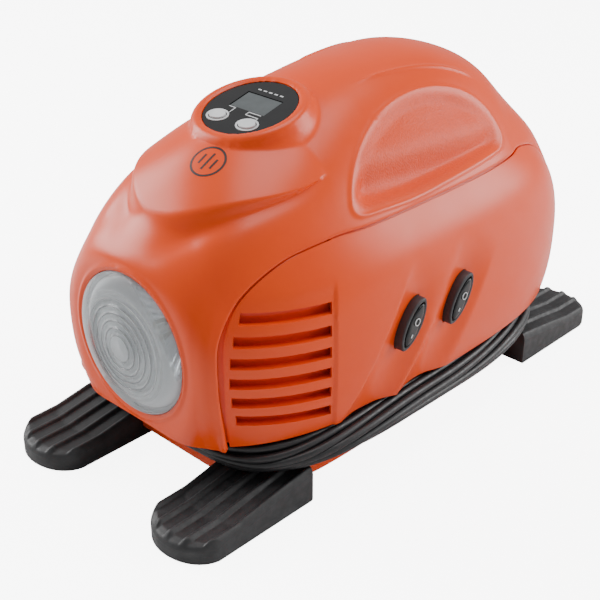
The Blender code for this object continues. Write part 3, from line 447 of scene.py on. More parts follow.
UPRIGHT = frame_at((0, 0, 0), (1, 0, 0), (0, 1, 0))
GAUGE_FRAME = frame_at(GAUGE_AT, (1, 0, 0), GAUGE_ALONG)
LENS_FRAME = frame_at(LENS_AT, (0, 0, 1), (1, 0, 0))


def switch_frame_at(place):
    across = (0, math.cos(SWITCH_LEAN), -math.sin(SWITCH_LEAN))
    along = (0, math.sin(SWITCH_LEAN), math.cos(SWITCH_LEAN))
    return frame_at(place, across, along)


def cut(target, cutter):
    """Takes the cutter out of the target and removes it."""
    step = target.modifiers.new("cut", "BOOLEAN")
    step.operation = "DIFFERENCE"
    step.solver = "EXACT"
    step.object = cutter
    evaluated = target.evaluated_get(bpy.context.evaluated_depsgraph_get())
    result = bpy.data.meshes.new_from_object(evaluated)
    target.modifiers.remove(step)
    old = target.data
    target.data = result
    result.name = old.name
    bpy.data.meshes.remove(old)
    bpy.data.objects.remove(cutter, do_unlink=True)
    result.shade_smooth()
    result.set_sharp_from_angle(angle=SHARP_ANGLE)


# ---- materials ---------------------------------------------------------------------------------


class Surface:
    """A procedural material: a Principled shader with helpers for its colour, sheen and relief."""

    def __init__(self, name, colour, roughness, metallic=0.0):
        self.material = bpy.data.materials.new(name)
        self.material.use_nodes = True
        self.tree = self.material.node_tree
        self.shader = self.tree.nodes["Principled BSDF"]
        self.colour = colour
        self.shader.inputs["Base Color"].default_value = (*colour, 1)
        self.shader.inputs["Roughness"].default_value = roughness
        self.shader.inputs["Metallic"].default_value = metallic
        self.place = self.tree.nodes.new("ShaderNodeTexCoord").outputs["Object"]
        self.relief = None

    def link(self, source, target):
        self.tree.links.new(source, target)
        return source

    def stretched(self, scale):
        node = self.tree.nodes.new("ShaderNodeMapping")
        node.inputs["Scale"].default_value = scale
        self.link(self.place, node.inputs["Vector"])
        return node.outputs["Vector"]

    def noise(self, size, detail=3.0, stretch=None):
        """Noise whose features are about size millimetres across."""
        node = self.tree.nodes.new("ShaderNodeTexNoise")
        node.inputs["Scale"].default_value = 1 / (size * MM)
        node.inputs["Detail"].default_value = detail
        self.link(self.stretched(stretch) if stretch else self.place, node.inputs["Vector"])
        return node.outputs["Fac"]

    def ranged(self, source, low, high, to_low, to_high):
        node = self.tree.nodes.new("ShaderNodeMapRange")
        for name, value in zip(
            ("From Min", "From Max", "To Min", "To Max"), (low, high, to_low, to_high)
        ):
            node.inputs[name].default_value = value
        self.link(source, node.inputs["Value"])
        return node.outputs["Result"]

    def math(self, operation, first, second):
        node = self.tree.nodes.new("ShaderNodeMath")
        node.operation = operation
        for value, socket in zip((first, second), node.inputs):
            if isinstance(value, (int, float)):
                socket.default_value = value
            else:
                self.link(value, socket)
        return node.outputs["Value"]

    def attribute(self, name):
        node = self.tree.nodes.new("ShaderNodeAttribute")
        node.attribute_name = name
        return node.outputs["Fac"]

    def tint(self, factor, colour):
        """Mixes another colour over the present one."""
        node = self.tree.nodes.new("ShaderNodeMix")
        node.data_type = "RGBA"
        node.inputs["B"].default_value = (*colour, 1)
        base = self.shader.inputs["Base Color"]
        if base.is_linked:
            self.link(base.links[0].from_socket, node.inputs["A"])
        else:
            node.inputs["A"].default_value = (*self.colour, 1)
        self.link(factor, node.inputs["Factor"])
        self.link(node.outputs["Result"], base)

    def roughness(self, source, low, high):
        self.link(self.ranged(source, 0.3, 0.7, low, high), self.shader.inputs["Roughness"])

    def bump(self, height, depth, strength=1.0):
        """Adds relief about depth millimetres deep."""
        node = self.tree.nodes.new("ShaderNodeBump")
        node.inputs["Strength"].default_value = strength
        node.inputs["Distance"].default_value = depth * MM
        self.link(height, node.inputs["Height"])
        if self.relief:
            self.link(self.relief, node.inputs["Normal"])
        self.relief = node.outputs["Normal"]
        self.link(self.relief, self.shader.inputs["Normal"])

    def edges(self, colour, share=0.5):
        """Lighter convex edges: painted highlights on the rubber's ridges, paler edges on metal."""
        node = self.tree.nodes.new("ShaderNodeNewGeometry")
        pale_edges = self.ranged(node.outputs["Pointiness"], 0.52, 0.62, 0, share)
        self.tint(pale_edges, colour)


def orange_plastic():
    """Moulded orange plastic, faintly clouded, and stippled where the grain attribute asks."""
    made = Surface("orange_plastic_look", (0.90, 0.070, 0.0), 0.30)
    cloud = made.noise(60, 2)
    made.tint(made.ranged(cloud, 0.35, 0.7, 0, 0.35), (0.84, 0.054, 0.0))
    made.tint(made.ranged(made.noise(4, 4), 0.4, 0.75, 0, 0.12), (0.94, 0.090, 0.001))
    stipple_and_painted_shade = made.attribute("stipple_and_painted_shade")
    stipple = made.noise(0.9, 2)
    pits = made.ranged(stipple, 0.4, 0.65, 0.0, 0.45)
    made.tint(made.math("MULTIPLY", stipple_and_painted_shade, pits), (0.66, 0.042, 0.001))
    gloss = made.ranged(made.noise(14, 4), 0.3, 0.7, 0.30, 0.36)
    duller = made.math("MULTIPLY", stipple_and_painted_shade, 0.14)
    made.link(made.math("ADD", gloss, duller), made.shader.inputs["Roughness"])
    made.bump(made.noise(0.5, 2), 0.010)
    made.bump(made.math("MULTIPLY", stipple_and_painted_shade, stipple), 0.35)
    made.shader.inputs["Specular IOR Level"].default_value = 0.36
    made.shader.inputs["Coat Weight"].default_value = 0.06
    made.shader.inputs["Coat Roughness"].default_value = 0.25
    return made.material


def rubber(name, colour, roughness, grain_size=0.6):
    """Matte rubber with a fine grain, dusty patches and paler edges painted as highlights."""
    made = Surface(name, colour, roughness)
    light = tuple(value * 2.6 + 0.004 for value in colour)
    made.tint(made.ranged(made.noise(9, 4), 0.4, 0.75, 0, 0.5), light)
    # Painted highlight: the paler convex edges stand for the glints along the feet's ridges.
    made.edges(tuple(value * 5 for value in colour), 0.5)
    made.roughness(made.noise(5, 4), roughness - 0.08, roughness + 0.10)
    made.bump(made.noise(grain_size, 3), 0.05)
    return made.material


def cord_sheath():
    made = Surface("cord_sheath_look", (0.011, 0.011, 0.012), 0.42)
    made.tint(made.ranged(made.noise(7, 3), 0.4, 0.7, 0, 0.6), (0.022, 0.022, 0.024))
    made.roughness(made.noise(3, 4), 0.34, 0.5)
    made.bump(made.noise(1.1, 3), 0.06)
    return made.material


def metal(name, colour, roughness, brushed=None, grain_size=2.0):
    """Bare or plated metal. Brushed stretches the marks along one direction."""
    made = Surface(name, colour, roughness, 1.0)
    dim_patch_and_painted_shade = tuple(value * 0.72 for value in colour)
    made.tint(made.ranged(made.noise(8, 4), 0.4, 0.75, 0, 0.45), dim_patch_and_painted_shade)
    marks = made.noise(grain_size, 5, brushed)
    made.roughness(marks, roughness - 0.08, roughness + 0.12)
    made.bump(marks, 0.03)
    made.edges(tuple(min(value * 1.3, 1) for value in colour), 0.4)
    return made.material


def plastic(name, colour, roughness, grain_depth=0.02):
    """Moulded plastic with a slight cloud in its colour and sheen."""
    made = Surface(name, colour, roughness)
    light = tuple(min(value * 1.5 + 0.004, 1) for value in colour)
    made.tint(made.ranged(made.noise(10, 3), 0.4, 0.75, 0, 0.4), light)
    made.roughness(made.noise(6, 4), max(roughness - 0.05, 0.03), roughness + 0.07)
    made.bump(made.noise(0.5, 2), grain_depth)
    return made.material


def board():
    """A green circuit board with paler tracks."""
    made = Surface("circuit_board_look", (0.02, 0.12, 0.05), 0.42)
    tracks = made.noise(2.2, 0.0, (1.0, 4.0, 1.0))
    made.tint(made.ranged(tracks, 0.52, 0.54, 0, 0.6), (0.05, 0.24, 0.10))
    made.roughness(made.noise(3, 3), 0.34, 0.5)
    made.bump(tracks, 0.04)
    return made.material


def see_through(name, tint, roughness, share):
    """A clear material: a mix of what lies behind it and its own reflections. Share is how much
    of its own face shows when it is looked at straight on."""
    made = Surface(name, tint, roughness)
    tree = made.tree
    output = next(node for node in tree.nodes if node.type == "OUTPUT_MATERIAL")
    clear = tree.nodes.new("ShaderNodeBsdfTransparent")
    clear.inputs["Color"].default_value = (*tint, 1)
    mix = tree.nodes.new("ShaderNodeMixShader")
    fresnel = tree.nodes.new("ShaderNodeFresnel")
    fresnel.inputs["IOR"].default_value = 1.5
    # Painted shade: where the point attribute marks it, as on the lens's rings, more of the own tinted
    # face shows.
    dim_patch_and_painted_shade = made.math("MULTIPLY", made.attribute("stipple_and_painted_shade"), 0.5)
    own = made.math("ADD", fresnel.outputs["Fac"], share)
    made.link(made.math("ADD", own, dim_patch_and_painted_shade), mix.inputs["Fac"])
    made.bump(made.noise(6, 3), 0.02)
    made.link(clear.outputs["BSDF"], mix.inputs[1])
    made.link(made.shader.outputs["BSDF"], mix.inputs[2])
    made.link(mix.outputs["Shader"], output.inputs["Surface"])
    return made


def lens_plastic():
    """The lamp's clear plastic, with painted shade: darker and less clear on the rings marked on it.
    """
    made = see_through("clear_lens_look", (0.93, 0.95, 0.96), 0.08, 0.14)
    # Painted shade: the marked ridges and rim line turn dark grey, standing in for the light the ring
    # grooves bend.
    made.tint(made.attribute("stipple_and_painted_shade"), (0.16, 0.17, 0.18))
    return made.material


def reflector_metal():
    """Bright plating, slightly hazy in patches."""
    made = Surface("reflector_look", (0.78, 0.79, 0.81), 0.16, 1.0)
    made.tint(made.ranged(made.noise(12, 3), 0.4, 0.7, 0, 0.4), (0.55, 0.56, 0.59))
    made.roughness(made.noise(4, 3), 0.12, 0.26)
    made.bump(made.noise(3, 2), 0.05)
    return made.material


ORANGE = orange_plastic()
LOOKS = {
    "orange_plastic": ORANGE,
    "black_rubber": rubber("black_rubber_look", (0.013, 0.013, 0.014), 0.52),
    "cord_rubber": cord_sheath(),
    "clear_lens": lens_plastic(),
    "reflector_chrome": reflector_metal(),
    "warm_glass": see_through("bulb_glass_look", (0.98, 0.97, 0.94), 0.03, 0.05).material,
    "nylon_white": plastic("nylon_look", (0.72, 0.71, 0.66), 0.45),
    "black_gloss": plastic("black_gloss_look", (0.007, 0.007, 0.008), 0.12, 0.004),
    "grey_display": plastic("display_film_look", (0.085, 0.095, 0.098), 0.18, 0.004),
    "white_plastic": plastic("white_plastic_look", (0.66, 0.67, 0.68), 0.34),
    "dark_grey_plastic": plastic("dark_grey_look", (0.028, 0.028, 0.031), 0.42, 0.04),
    "circuit_board": board(),
    "steel": metal("steel_look", (0.55, 0.56, 0.57), 0.28, (1.0, 0.15, 1.0)),
    "zinc_plate": metal("zinc_plate_look", (0.60, 0.61, 0.60), 0.38, None, 5.0),
    "cast_aluminium": metal("cast_aluminium_look", (0.58, 0.58, 0.59), 0.48, None, 0.8),
    # A darker, redder copy of the orange with painted shade, for the louvre plate in shadow behind the
    # slots.
    "shaded_orange": plastic("painted_shade_orange_look", (0.88, 0.045, 0.002), 0.40),
    "print_ink": plastic("print_ink_look", (0.02, 0.012, 0.010), 0.4),
    "brass": metal("brass_look", (0.78, 0.56, 0.22), 0.27, (1.0, 0.2, 1.0)),
}


def dress_frame():
    """Gives each CAD node the detailed material of its slot."""
    for part in frame["record"]["subparts"]:
        node = frame["nodes"][part["node"]]
        node.data.materials.clear()
        node.data.materials.append(LOOKS[part["material_slot"]])


# ---- cover -------------------------------------------------------------------------------------
BROW_MID_Y = -50.0
BROW_HALF = 52.0  # the hood seen from above: half width, then the reach of its crest and its foot
BROW_CREST_REACH = 66.0
BROW_FOOT_REACH = 79.0
BROW_RISE = 5.6
BROW_TROUGH = 1.3
BROW_FADE_Z = (105.0, 125.0)
GRIP_MID = (20.0, 148.0)
GRIP_HALF = (66.0, 42.0)
GRIP_LEAN = 0.25  # the recess leans back as it rises
GRIP_LOW_Z = 147.0
GRIP_DEPTH = 2.5
GRIP_WALL = 7.5  # width of the slope from the edge to the bottom
GRIP_GROOVE = (155.0, 7.5, 3.2)  # height, width and depth of the finger groove
GRIP_RIDGE = (168.0, 8.0, 1.6)  # height, width and rise of the ridge above it
CREST_LINE_X = (24.0, 37.0)  # distance from the middle at the line's start and end
CREST_LINE_END = 79.0
RIB_HEIGHT = 2.2
KNOB_HEIGHT = 2.6
SEAT_RADII = (41.0, 66.0)  # from where the nose is flush with the lens to where it is itself
SEAT_LIP = (42.2, 1.3, 0.9)  # radius, width and rise of the bead round the lens
POD_LAND_RADIUS = 28.4
POD_SHOULDER = 4.2
POD_SKIRT_RADIUS = 32.2
HOLE_PLAY = 0.35  # gap round the gauge and the lens


def brow(place):
    """Height of the hood: a cap that stands proud at the front and dies away towards its sides."""
    x, y = place[..., 0], np.minimum(place[..., 1], BROW_MID_Y) - BROW_MID_Y
    foot = np.hypot(x / BROW_HALF, y / BROW_FOOT_REACH) - 1
    crest = np.hypot(x / BROW_HALF, y / BROW_CREST_REACH) - 1
    lead = -y / np.maximum(np.hypot(x * BROW_CREST_REACH / BROW_HALF, y), 1)
    climb = np.clip(-foot / np.maximum(crest - foot, 1e-6), 0, 1)
    step = climb * climb * (3 - 2 * climb)
    outside = np.maximum(foot, 0) * BROW_FOOT_REACH
    trough_ahead = BROW_TROUGH * bell(outside - 1, 5) * (foot > 0)
    trough_below = BROW_TROUGH * bell(1, 5) * (1 - step) * (foot <= 0)
    trough = trough_ahead + trough_below
    return (BROW_RISE * step - trough) * lead**0.8 * smooth(*BROW_FADE_Z, place[..., 2])


def grip_distance(place):
    """Distance inside the edge of the grip recess, in millimetres, negative outside it."""
    y, z = place[..., 1], place[..., 2]
    middle = GRIP_MID[0] + GRIP_LEAN * (z - GRIP_MID[1])
    ring = np.hypot((y - middle) / GRIP_HALF[0], (z - GRIP_MID[1]) / GRIP_HALF[1])
    round_side = (1 - ring) * 46
    flat_side = z - GRIP_LOW_Z - 0.04 * np.abs(y)
    corner = 7.0
    meet = np.clip(0.5 + 0.5 * (flat_side - round_side) / corner, 0, 1)
    nearest = flat_side * (1 - meet) + round_side * meet - corner * meet * (1 - meet)
    on_a_side = np.abs(place[..., 0]) > 20
    return np.where(on_a_side, nearest, -50)


def grip(place):
    """The grip recess, with a finger groove and a ridge across it and a bead round its edge."""
    inside = grip_distance(place)
    z = place[..., 2] + 0.08 * (place[..., 1] - GRIP_MID[0])
    groove = GRIP_GROOVE[2] * bell(z - GRIP_GROOVE[0], GRIP_GROOVE[1])
    ridge = GRIP_RIDGE[2] * bell(z - GRIP_RIDGE[0], GRIP_RIDGE[1])
    hollow = GRIP_DEPTH + groove - ridge
    bead = 0.5 * bell(inside + 0.6, 0.9)
    return -hollow * smooth(0, GRIP_WALL, inside) + bead


def crest_line(place):
    """A fine raised line along the hump above each grip."""
    x, y = np.abs(place[..., 0]), place[..., 1]
    first, last = CREST_LINE_X
    middle = first + (last - first) * np.clip(y / CREST_LINE_END, 0, 2) ** 1.6
    ends = smooth(0, 16, y) * smooth(CREST_LINE_END + 15, CREST_LINE_END - 1, y)
    on_top = place[..., 2] > 120
    return 0.9 * bell(x - middle, 1.1) * ends * on_top


def cover_rib(share, across):
    """The cover's edge stands proud of the side panel at the front, is rolled over, and ends in a
    knob at the seam's lower end."""
    from_seam = 1 - np.abs(across)
    front = smooth(0.26, 0.14, share)
    rib = RIB_HEIGHT * front * smooth(0.20, 0.06, from_seam)
    knob = KNOB_HEIGHT * bell(share - 0.012, 0.018) * bell(from_seam - 0.02, 0.032)
    roll = -(0.5 + 1.9 * front) * drop(1 - np.clip(from_seam / 0.022, 0, 1))
    return rib + knob + roll


def lamp_seat(grid):
    """Shapes the nose so that it meets the lens's rim all the way round, with a bead beside it."""
    offset = grid - LENS_AT
    radius = np.hypot(offset[..., 0], offset[..., 2])
    front = grid[..., 1] < -80
    weight = smooth(SEAT_RADII[1], SEAT_RADII[0], radius) * front
    flush_y = LENS_AT[1] - 0.3
    moved = grid.copy()
    moved[..., 1] += (flush_y - grid[..., 1]) * weight
    lip_radius, lip_width, lip_rise = SEAT_LIP
    moved[..., 1] -= lip_rise * bell(radius - lip_radius, lip_width) * front
    return moved


def pod_top(radius):
    """Height of the gauge's raised ring over the gauge's plane."""
    land = 1.3 - 1.1 * smooth(27.4, 26.0, radius)
    shoulder = np.clip((radius - POD_LAND_RADIUS) / POD_SHOULDER, 0, 1)
    ring = land - POD_SHOULDER * drop(shoulder)
    skirt = np.maximum(radius - POD_SKIRT_RADIUS, 0) * 2.4
    return ring - skirt


def gauge_pod(grid):
    """Raises a ring round the gauge, blended into the hood."""
    offset = grid - GAUGE_AT
    height = offset @ GAUGE_NORMAL
    along = offset @ GAUGE_ALONG
    radius = np.hypot(offset[..., 0], along)
    near = (radius < 80) & (grid[..., 2] > 120)
    wanted = pod_top(radius)
    fillet = 4.5
    meet = np.clip(0.5 + 0.5 * (wanted - height) / fillet, 0, 1)
    blended = height * (1 - meet) + wanted * meet + fillet * meet * (1 - meet)
    flat = smooth(31, 28, radius)
    blended = blended * (1 - flat) + wanted * flat
    lift = np.where(near, blended - height, 0)
    return grid + lift[..., None] * GAUGE_NORMAL


def top_cover():
    """The cover: its skin with the hood, grips and ribs, and holes for the gauge and the lamp."""
    rows, columns = ((330, 221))
    share, across = np.meshgrid(
        np.linspace(0, 1, rows), np.linspace(-1, 1, columns), indexing="ij"
    )
    # More columns gather at the seams, where the edge is rolled.
    across = np.sin(across * math.pi / 2) * 0.35 + across * 0.65
    base = cover_surface(share, across * 0.994)
    normal = grid_normals(base, (0, 0, WAIST_Z))
    relief = brow(base) + grip(base) + crest_line(base) + cover_rib(share, across)
    relief *= smooth(0.0, 0.01, share + 0.005)
    grid = base + normal * relief[..., None]
    grid = gauge_pod(lamp_seat(grid))
    back = grid - WALL * normal
    stipple_and_painted_shade = smooth(0.5, 3.0, grip_distance(base))
    cover = shell("cover_shell", grid, back, ORANGE, stipple_and_painted_shade)
    well = GAUGE_RADIUS + HOLE_PLAY
    cut(cover, turned("gauge_well", ((well, -30), (well, 12)), GAUGE_FRAME, 96, None))
    mouth = LENS_RADIUS + HOLE_PLAY
    cut(cover, turned("lamp_mouth", ((mouth, -30), (mouth, 30)), LENS_FRAME, 120, None))
    return place_piece(cover, stands_for=("top_cover",))


SIGN_AT = GAUGE_AT + (10.5, 0, 0) - 44 * GAUGE_ALONG
SIGN_RADIUS = 9.7
SIGN_LINE = 1.2
SIGN_BARS = ((-4.0, 3.2), (0.0, 5.6), (4.0, 3.2))  # place across and half length
INK_THICK = 0.1


def lay_on(cover, spots, up):
    """Points of the cover's skin under the given spots, seen along a direction."""
    tree = BVHTree.FromPolygons(
        [vertex.co for vertex in cover.data.vertices],
        [tuple(face.vertices) for face in cover.data.polygons],
    )
    hits = []
    for spot in spots:
        start = (np.asarray(spot) + 20 * up - MIDDLE) * MM
        hit = tree.ray_cast(Vector(start), Vector(-up))[0]
        hits.append(np.array(hit) / MM + MIDDLE)
    return np.array(hits)


def printed_strip(name, cover, inner, outer, up, closed):
    """A printed stroke that follows the cover between two lines of spots."""
    lift = up * INK_THICK
    edges = zip(lay_on(cover, inner, up), lay_on(cover, outer, up))
    rings = [[a + lift, b + lift, b - lift, a - lift] for a, b in edges]
    place_piece(loft(name, rings, LOOKS["print_ink"], closed))


def hood_sign(cover):
    """A plain round sign on the hood: a ring with three upright bars, the middle one longer."""
    up = unit(np.array((0.06, -0.56, 0.83)))
    side = unit(np.cross((0, -1.0, 0), up) * -1)
    ahead = np.cross(up, side)
    turn = np.arange(56) * math.tau / 56
    circle = np.outer(np.cos(turn), side) + np.outer(np.sin(turn), ahead)
    inner = SIGN_AT + (SIGN_RADIUS - SIGN_LINE) * circle
    outer = SIGN_AT + SIGN_RADIUS * circle
    printed_strip("sign_ring", cover, inner, outer, up, True)
    for number, (x, half) in enumerate(SIGN_BARS):
        along = np.linspace(-half, half, 9)
        line = SIGN_AT + np.outer(along, ahead)
        first = line + (x - SIGN_LINE / 2) * side
        last = line + (x + SIGN_LINE / 2) * side
        printed_strip(f"sign_bar_{number + 1}", cover, first, last, up, False)


def seam_lips():
    """A strip behind each seam, so that the gap between cover and panel has a bottom."""
    depth, thick, half = 2.7, 1.2, 3.4
    share = np.linspace(0.004, 0.996, 160)
    seam = through(SEAM, share)
    middle = side_surface(seam[:, 0], seam[:, 1])
    step = 0.4
    turned_on = side_surface(seam[:, 0] + step, seam[:, 1]) - middle
    raised = side_surface(seam[:, 0], seam[:, 1] + step) - middle
    normal = unit(np.cross(turned_on, raised))
    normal *= np.sign((normal * (middle - (0, 0, WAIST_Z))).sum(axis=1))[:, None]
    along = unit(np.gradient(middle, axis=0))
    across = np.cross(normal, along)
    for name, side in (("right_seam_lip", 1), ("left_seam_lip", -1)):
        rings = []
        for point, out, wide in zip(middle, normal, across):
            corners = [
                point - out * depth - wide * half,
                point - out * depth + wide * half,
                point - out * (depth + thick) + wide * half,
                point - out * (depth + thick) - wide * half,
            ]
            rings.append(np.array(corners) * (side, 1, 1))
        place_piece(loft(name, rings, ORANGE))


# ---- side panels -------------------------------------------------------------------------------
VENT_ZONE_REAR = -23.4
VENT_ZONE_TOP_Z = 121.0
VENT_ZONE_DEPTH = 0.9
SCALLOP_HALF = 17.2
SCALLOP_DEPTH = 4.2
SCALLOP_FADE = (8.0, 40.0)  # from full depth to none, up the trough from its switch
LOUVRE_WALL = -3.2
LOUVRE_VALLEY = -6.4
LOUVRE_SHEET = 1.2


def vent_zone(place):
    """The field round the louvre slots is sunk, with an upright step at its rear."""
    angle, z = place[..., 0], place[..., 1]
    inside = smooth(VENT_ZONE_REAR + 0.25, VENT_ZONE_REAR - 0.35, angle)
    return -VENT_ZONE_DEPTH * inside * smooth(VENT_ZONE_TOP_Z + 6, VENT_ZONE_TOP_Z - 4, z)


def scallops(surface):
    """Two shallow troughs that run down through the switches, with a sharp ridge between."""
    depth = 0
    for place in SWITCH_PLACES:
        y = surface[..., 1] - place[1]
        z = surface[..., 2] - place[2]
        across = y * math.cos(SWITCH_LEAN) - z * math.sin(SWITCH_LEAN)
        along = y * math.sin(SWITCH_LEAN) + z * math.cos(SWITCH_LEAN)
        trough = np.clip(1 - (across / SCALLOP_HALF) ** 2, 0, 1)
        depth = depth - SCALLOP_DEPTH * trough * smooth(SCALLOP_FADE[1], SCALLOP_FADE[0], along)
    return depth


def vent_cutter(name, side):
    """Curved bars that follow the body's side, one for each slot."""
    inner, outer = -9, 5
    points = []
    faces = []
    steps = 14
    for i in range(VENT_COUNT):
        rings = []
        front = VENT_FRONT_ANGLE + VENT_FRONT_BOW * (i - 2.8) ** 2
        for share in np.linspace(0, 1, steps):
            angle = front + share * (VENT_REAR_ANGLE - front)
            z = VENT_TOP_Z[0] - i * VENT_PITCH[0]
            z += share * (VENT_TOP_Z[1] - VENT_TOP_Z[0] - i * (VENT_PITCH[1] - VENT_PITCH[0]))
            corners = ((-1, inner), (1, inner), (1, outer), (-1, outer))
            ring = [
                side_surface(np.array(angle), np.array(z + up * VENT_THICKNESS / 2), grow)
                for up, grow in corners
            ]
            rings.append(np.array(ring) * (side, 1, 1))
        flat = np.concatenate(rings)
        bar = grid_faces(steps, 4, closed=True)
        bar += [(3, 2, 1, 0), tuple(range(len(flat) - 4, len(flat)))]
        bar = outward(flat, bar)
        faces += [tuple(len(points) + k for k in face) for face in bar]
        points += flat.tolist()
    return mesh_object(name, points, faces, None, False)


def side_panel(name, side, node):
    """A side panel with its louvre slots. The right one (side 1) has the switches too."""
    rows, columns = ((260, 121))
    along, up = np.meshgrid(
        np.linspace(0.004, 0.996, rows), np.linspace(0, 0.994, columns), indexing="ij"
    )
    place = panel_place(along, up)
    base = side_surface(place[..., 0], place[..., 1])
    normal = grid_normals(base, (0, 0, WAIST_Z))
    edge = np.minimum(np.minimum(along, 1 - along) * 2.2, 1 - up)
    roll = -0.5 * drop(1 - np.clip(edge / 0.02, 0, 1))
    relief = vent_zone(place) + roll
    if side > 0:
        relief = relief + scallops(base)
    grid = base + normal * relief[..., None]
    back = grid - WALL * normal
    for surface in (grid, back):
        surface[..., 0] *= side
    panel = shell(name, grid, back, ORANGE, np.zeros((rows, columns)))
    if side > 0:
        for centre in SWITCH_PLACES:
            axes = switch_frame_at(centre)
            cut(panel, slab("switch_hole", leaf(*SWITCH_HALF, 70), -12.5, 11.7, axes, None))
    cut(panel, vent_cutter(name + "_slots", side))
    return place_piece(panel, stands_for=(node,))


def louvres(name, side):
    """The inner louvre plate behind the slots: a curved wall with a slanted blade at each slot."""
    steps = 24
    rings = []
    first = VENT_FRONT_ANGLE - 1.5
    for share in np.linspace(0, 1, steps):
        angle = np.array(first + share * (VENT_REAR_ANGLE + 0.9 - first))
        top = VENT_TOP_Z[0] + share * (VENT_TOP_Z[1] - VENT_TOP_Z[0])
        pitch = VENT_PITCH[0] + share * (VENT_PITCH[1] - VENT_PITCH[0])
        profile = [(top + 6, LOUVRE_WALL)]
        for i in range(VENT_COUNT):
            middle = top - i * pitch - 1.5
            profile.append((middle + 5.2, LOUVRE_WALL))
            profile.append((middle - 3.2, LOUVRE_VALLEY))
            profile.append((middle - 3.6, LOUVRE_WALL))
        profile.append((top - (VENT_COUNT - 1) * pitch - 7, LOUVRE_WALL))
        front = [side_surface(angle, np.array(z), grow - 0.9) for z, grow in profile]
        back = -0.9 - LOUVRE_SHEET
        rear = [side_surface(angle, np.array(z), grow + back) for z, grow in reversed(profile)]
        rings.append(np.array(front + rear) * (side, 1, 1))
    # The plate wears the orange with painted shade, a darker copy for its place in shadow behind the
    # slots.
    place_piece(loft(name, rings, LOOKS["shaded_orange"]))


# ---- feet, base and cord -----------------------------------------------------------------------
FOOT_RIDGE_PITCH = 10.5
FOOT_RIDGE_HEIGHT = 1.9
FOOT_ROUNDING = 2.2
PLATE_HALF = (70.0, 124.0)
PLATE_MID_Y = 12.0
PLATE_POWER = 6.0  # square enough for its corners to cover the feet's screws
PLATE_LOW_Z = 6.0
PLATE_HIGH_Z = 16.0
PLATE_PLAY = 0.3
NECK_HALF = (64.0, 117.0)
NECK_POWER = 4.0
NECK_FLARE = 4.0
NECK_TOP_Z = 41.7


def foot_top(share):
    """Height of a foot's top from its tip (0) to its inner end (1): low, nearly level, then rising."""
    return np.interp(share, (0, 0.06, 0.3, 0.6, 1), (10.2, 12.0, 12.3, 16.0, 20.0))


def foot(name):
    """A rubber foot: a rounded pad with raised ridges along it and softened edges."""
    low, high = cad_box(name)
    front = low[1] < 0
    mid_x = (low[0] + high[0]) / 2
    half = (high[0] - low[0]) / 2
    tip, inner = (low[1], high[1]) if front else (high[1], low[1])
    rows, columns = 90, 121
    share, wide = np.meshgrid(np.linspace(0, 1, rows), np.linspace(-1, 1, columns), indexing="ij")
    share = share**1.25
    bow = half * 0.8 * (1 - np.sqrt(1 - 0.98 * wide**2)) / abs(inner - tip)
    y = tip + (inner - tip) * (share + bow * (1 - share))
    across = wide * half
    near = np.abs(across - np.round(across / FOOT_RIDGE_PITCH) * FOOT_RIDGE_PITCH)
    ridges = FOOT_RIDGE_HEIGHT * (1 - smooth(0.35, 2.6, near)) * (np.abs(across) < half - 0.4)
    ridges *= smooth(0.0, 0.05, share)
    from_edge = np.minimum((1 - np.abs(wide)) * half, share * abs(inner - tip))
    edge = np.clip(from_edge / FOOT_ROUNDING, 0, 1)
    rounding = FOOT_ROUNDING * drop(1 - edge)
    top = np.minimum(foot_top(share) + ridges, high[2]) - rounding
    grid = np.stack([mid_x + across, y, top], axis=-1)
    sides = []
    edge_ring = edge_of(rows, columns)
    flat = grid.reshape(-1, 3)
    for z in (5.5, 1.0, 0.0):
        ring = flat[edge_ring].copy()
        ring[:, 2] = np.minimum(ring[:, 2], z)
        if z == 0.0:
            middle = ring.mean(axis=0)
            ring[:, :2] += (middle[:2] - ring[:, :2]) * 0.02
        sides.append(ring)
    points = np.concatenate([flat] + sides)
    faces = grid_faces(rows, columns)
    size = len(edge_ring)
    above = list(edge_ring)
    for k in range(3):
        below = [len(flat) + k * size + n for n in range(size)]
        faces += [
            (above[n], below[n], below[(n + 1) % size], above[(n + 1) % size]) for n in range(size)
        ]
        above = below
    faces.append(tuple(above))
    obj = mesh_object(name + "_pad", points, outward(points, faces), LOOKS["black_rubber"])
    room_half = (PLATE_HALF[0] + PLATE_PLAY, PLATE_HALF[1] + PLATE_PLAY)
    room = oval(*room_half, 96, PLATE_POWER, PLATE_MID_Y)
    cut(obj, slab(name + "_room", room, PLATE_LOW_Z - PLATE_PLAY, 60, UPRIGHT, None))
    return place_piece(obj, stands_for=(name,))


def base_tray():
    """Foot plate with a neck above it, moulded with soft edges."""
    sides = 120

    def plate(shrink, z):
        half = (PLATE_HALF[0] - shrink, PLATE_HALF[1] - shrink)
        return level(oval(*half, sides, PLATE_POWER, PLATE_MID_Y), z)

    def neck(shrink, z):
        half = (NECK_HALF[0] - shrink, NECK_HALF[1] - shrink)
        return level(oval(*half, sides, NECK_POWER, MIDDLE[1]), z)

    turns = np.linspace(0, math.pi / 2, 5)
    rounding = [(1.5 * (1 - math.sin(a)), 1.5 * (1 - math.cos(a))) for a in turns]
    rings = [plate(shrink, PLATE_LOW_Z + lift) for shrink, lift in rounding]
    rings += [plate(shrink, PLATE_HIGH_Z - lift) for shrink, lift in reversed(rounding)]
    for t in np.linspace(0, 1, 4):
        rings.append(neck(-NECK_FLARE * (1 - t) ** 2, PLATE_HIGH_Z + NECK_FLARE * t))
    rings += [neck(0, NECK_TOP_Z), neck(3, NECK_TOP_Z), neck(3, PLATE_LOW_Z + 3)]
    place_piece(loft("base_shell", rings, ORANGE), stands_for=("base_tray",))


STRAND_RADIUS = 2.3
BUNDLE_RADIUS = 9.5
CORD_POWERS = (4.0, 3.0)  # the winding is rounder at the rear than at the front


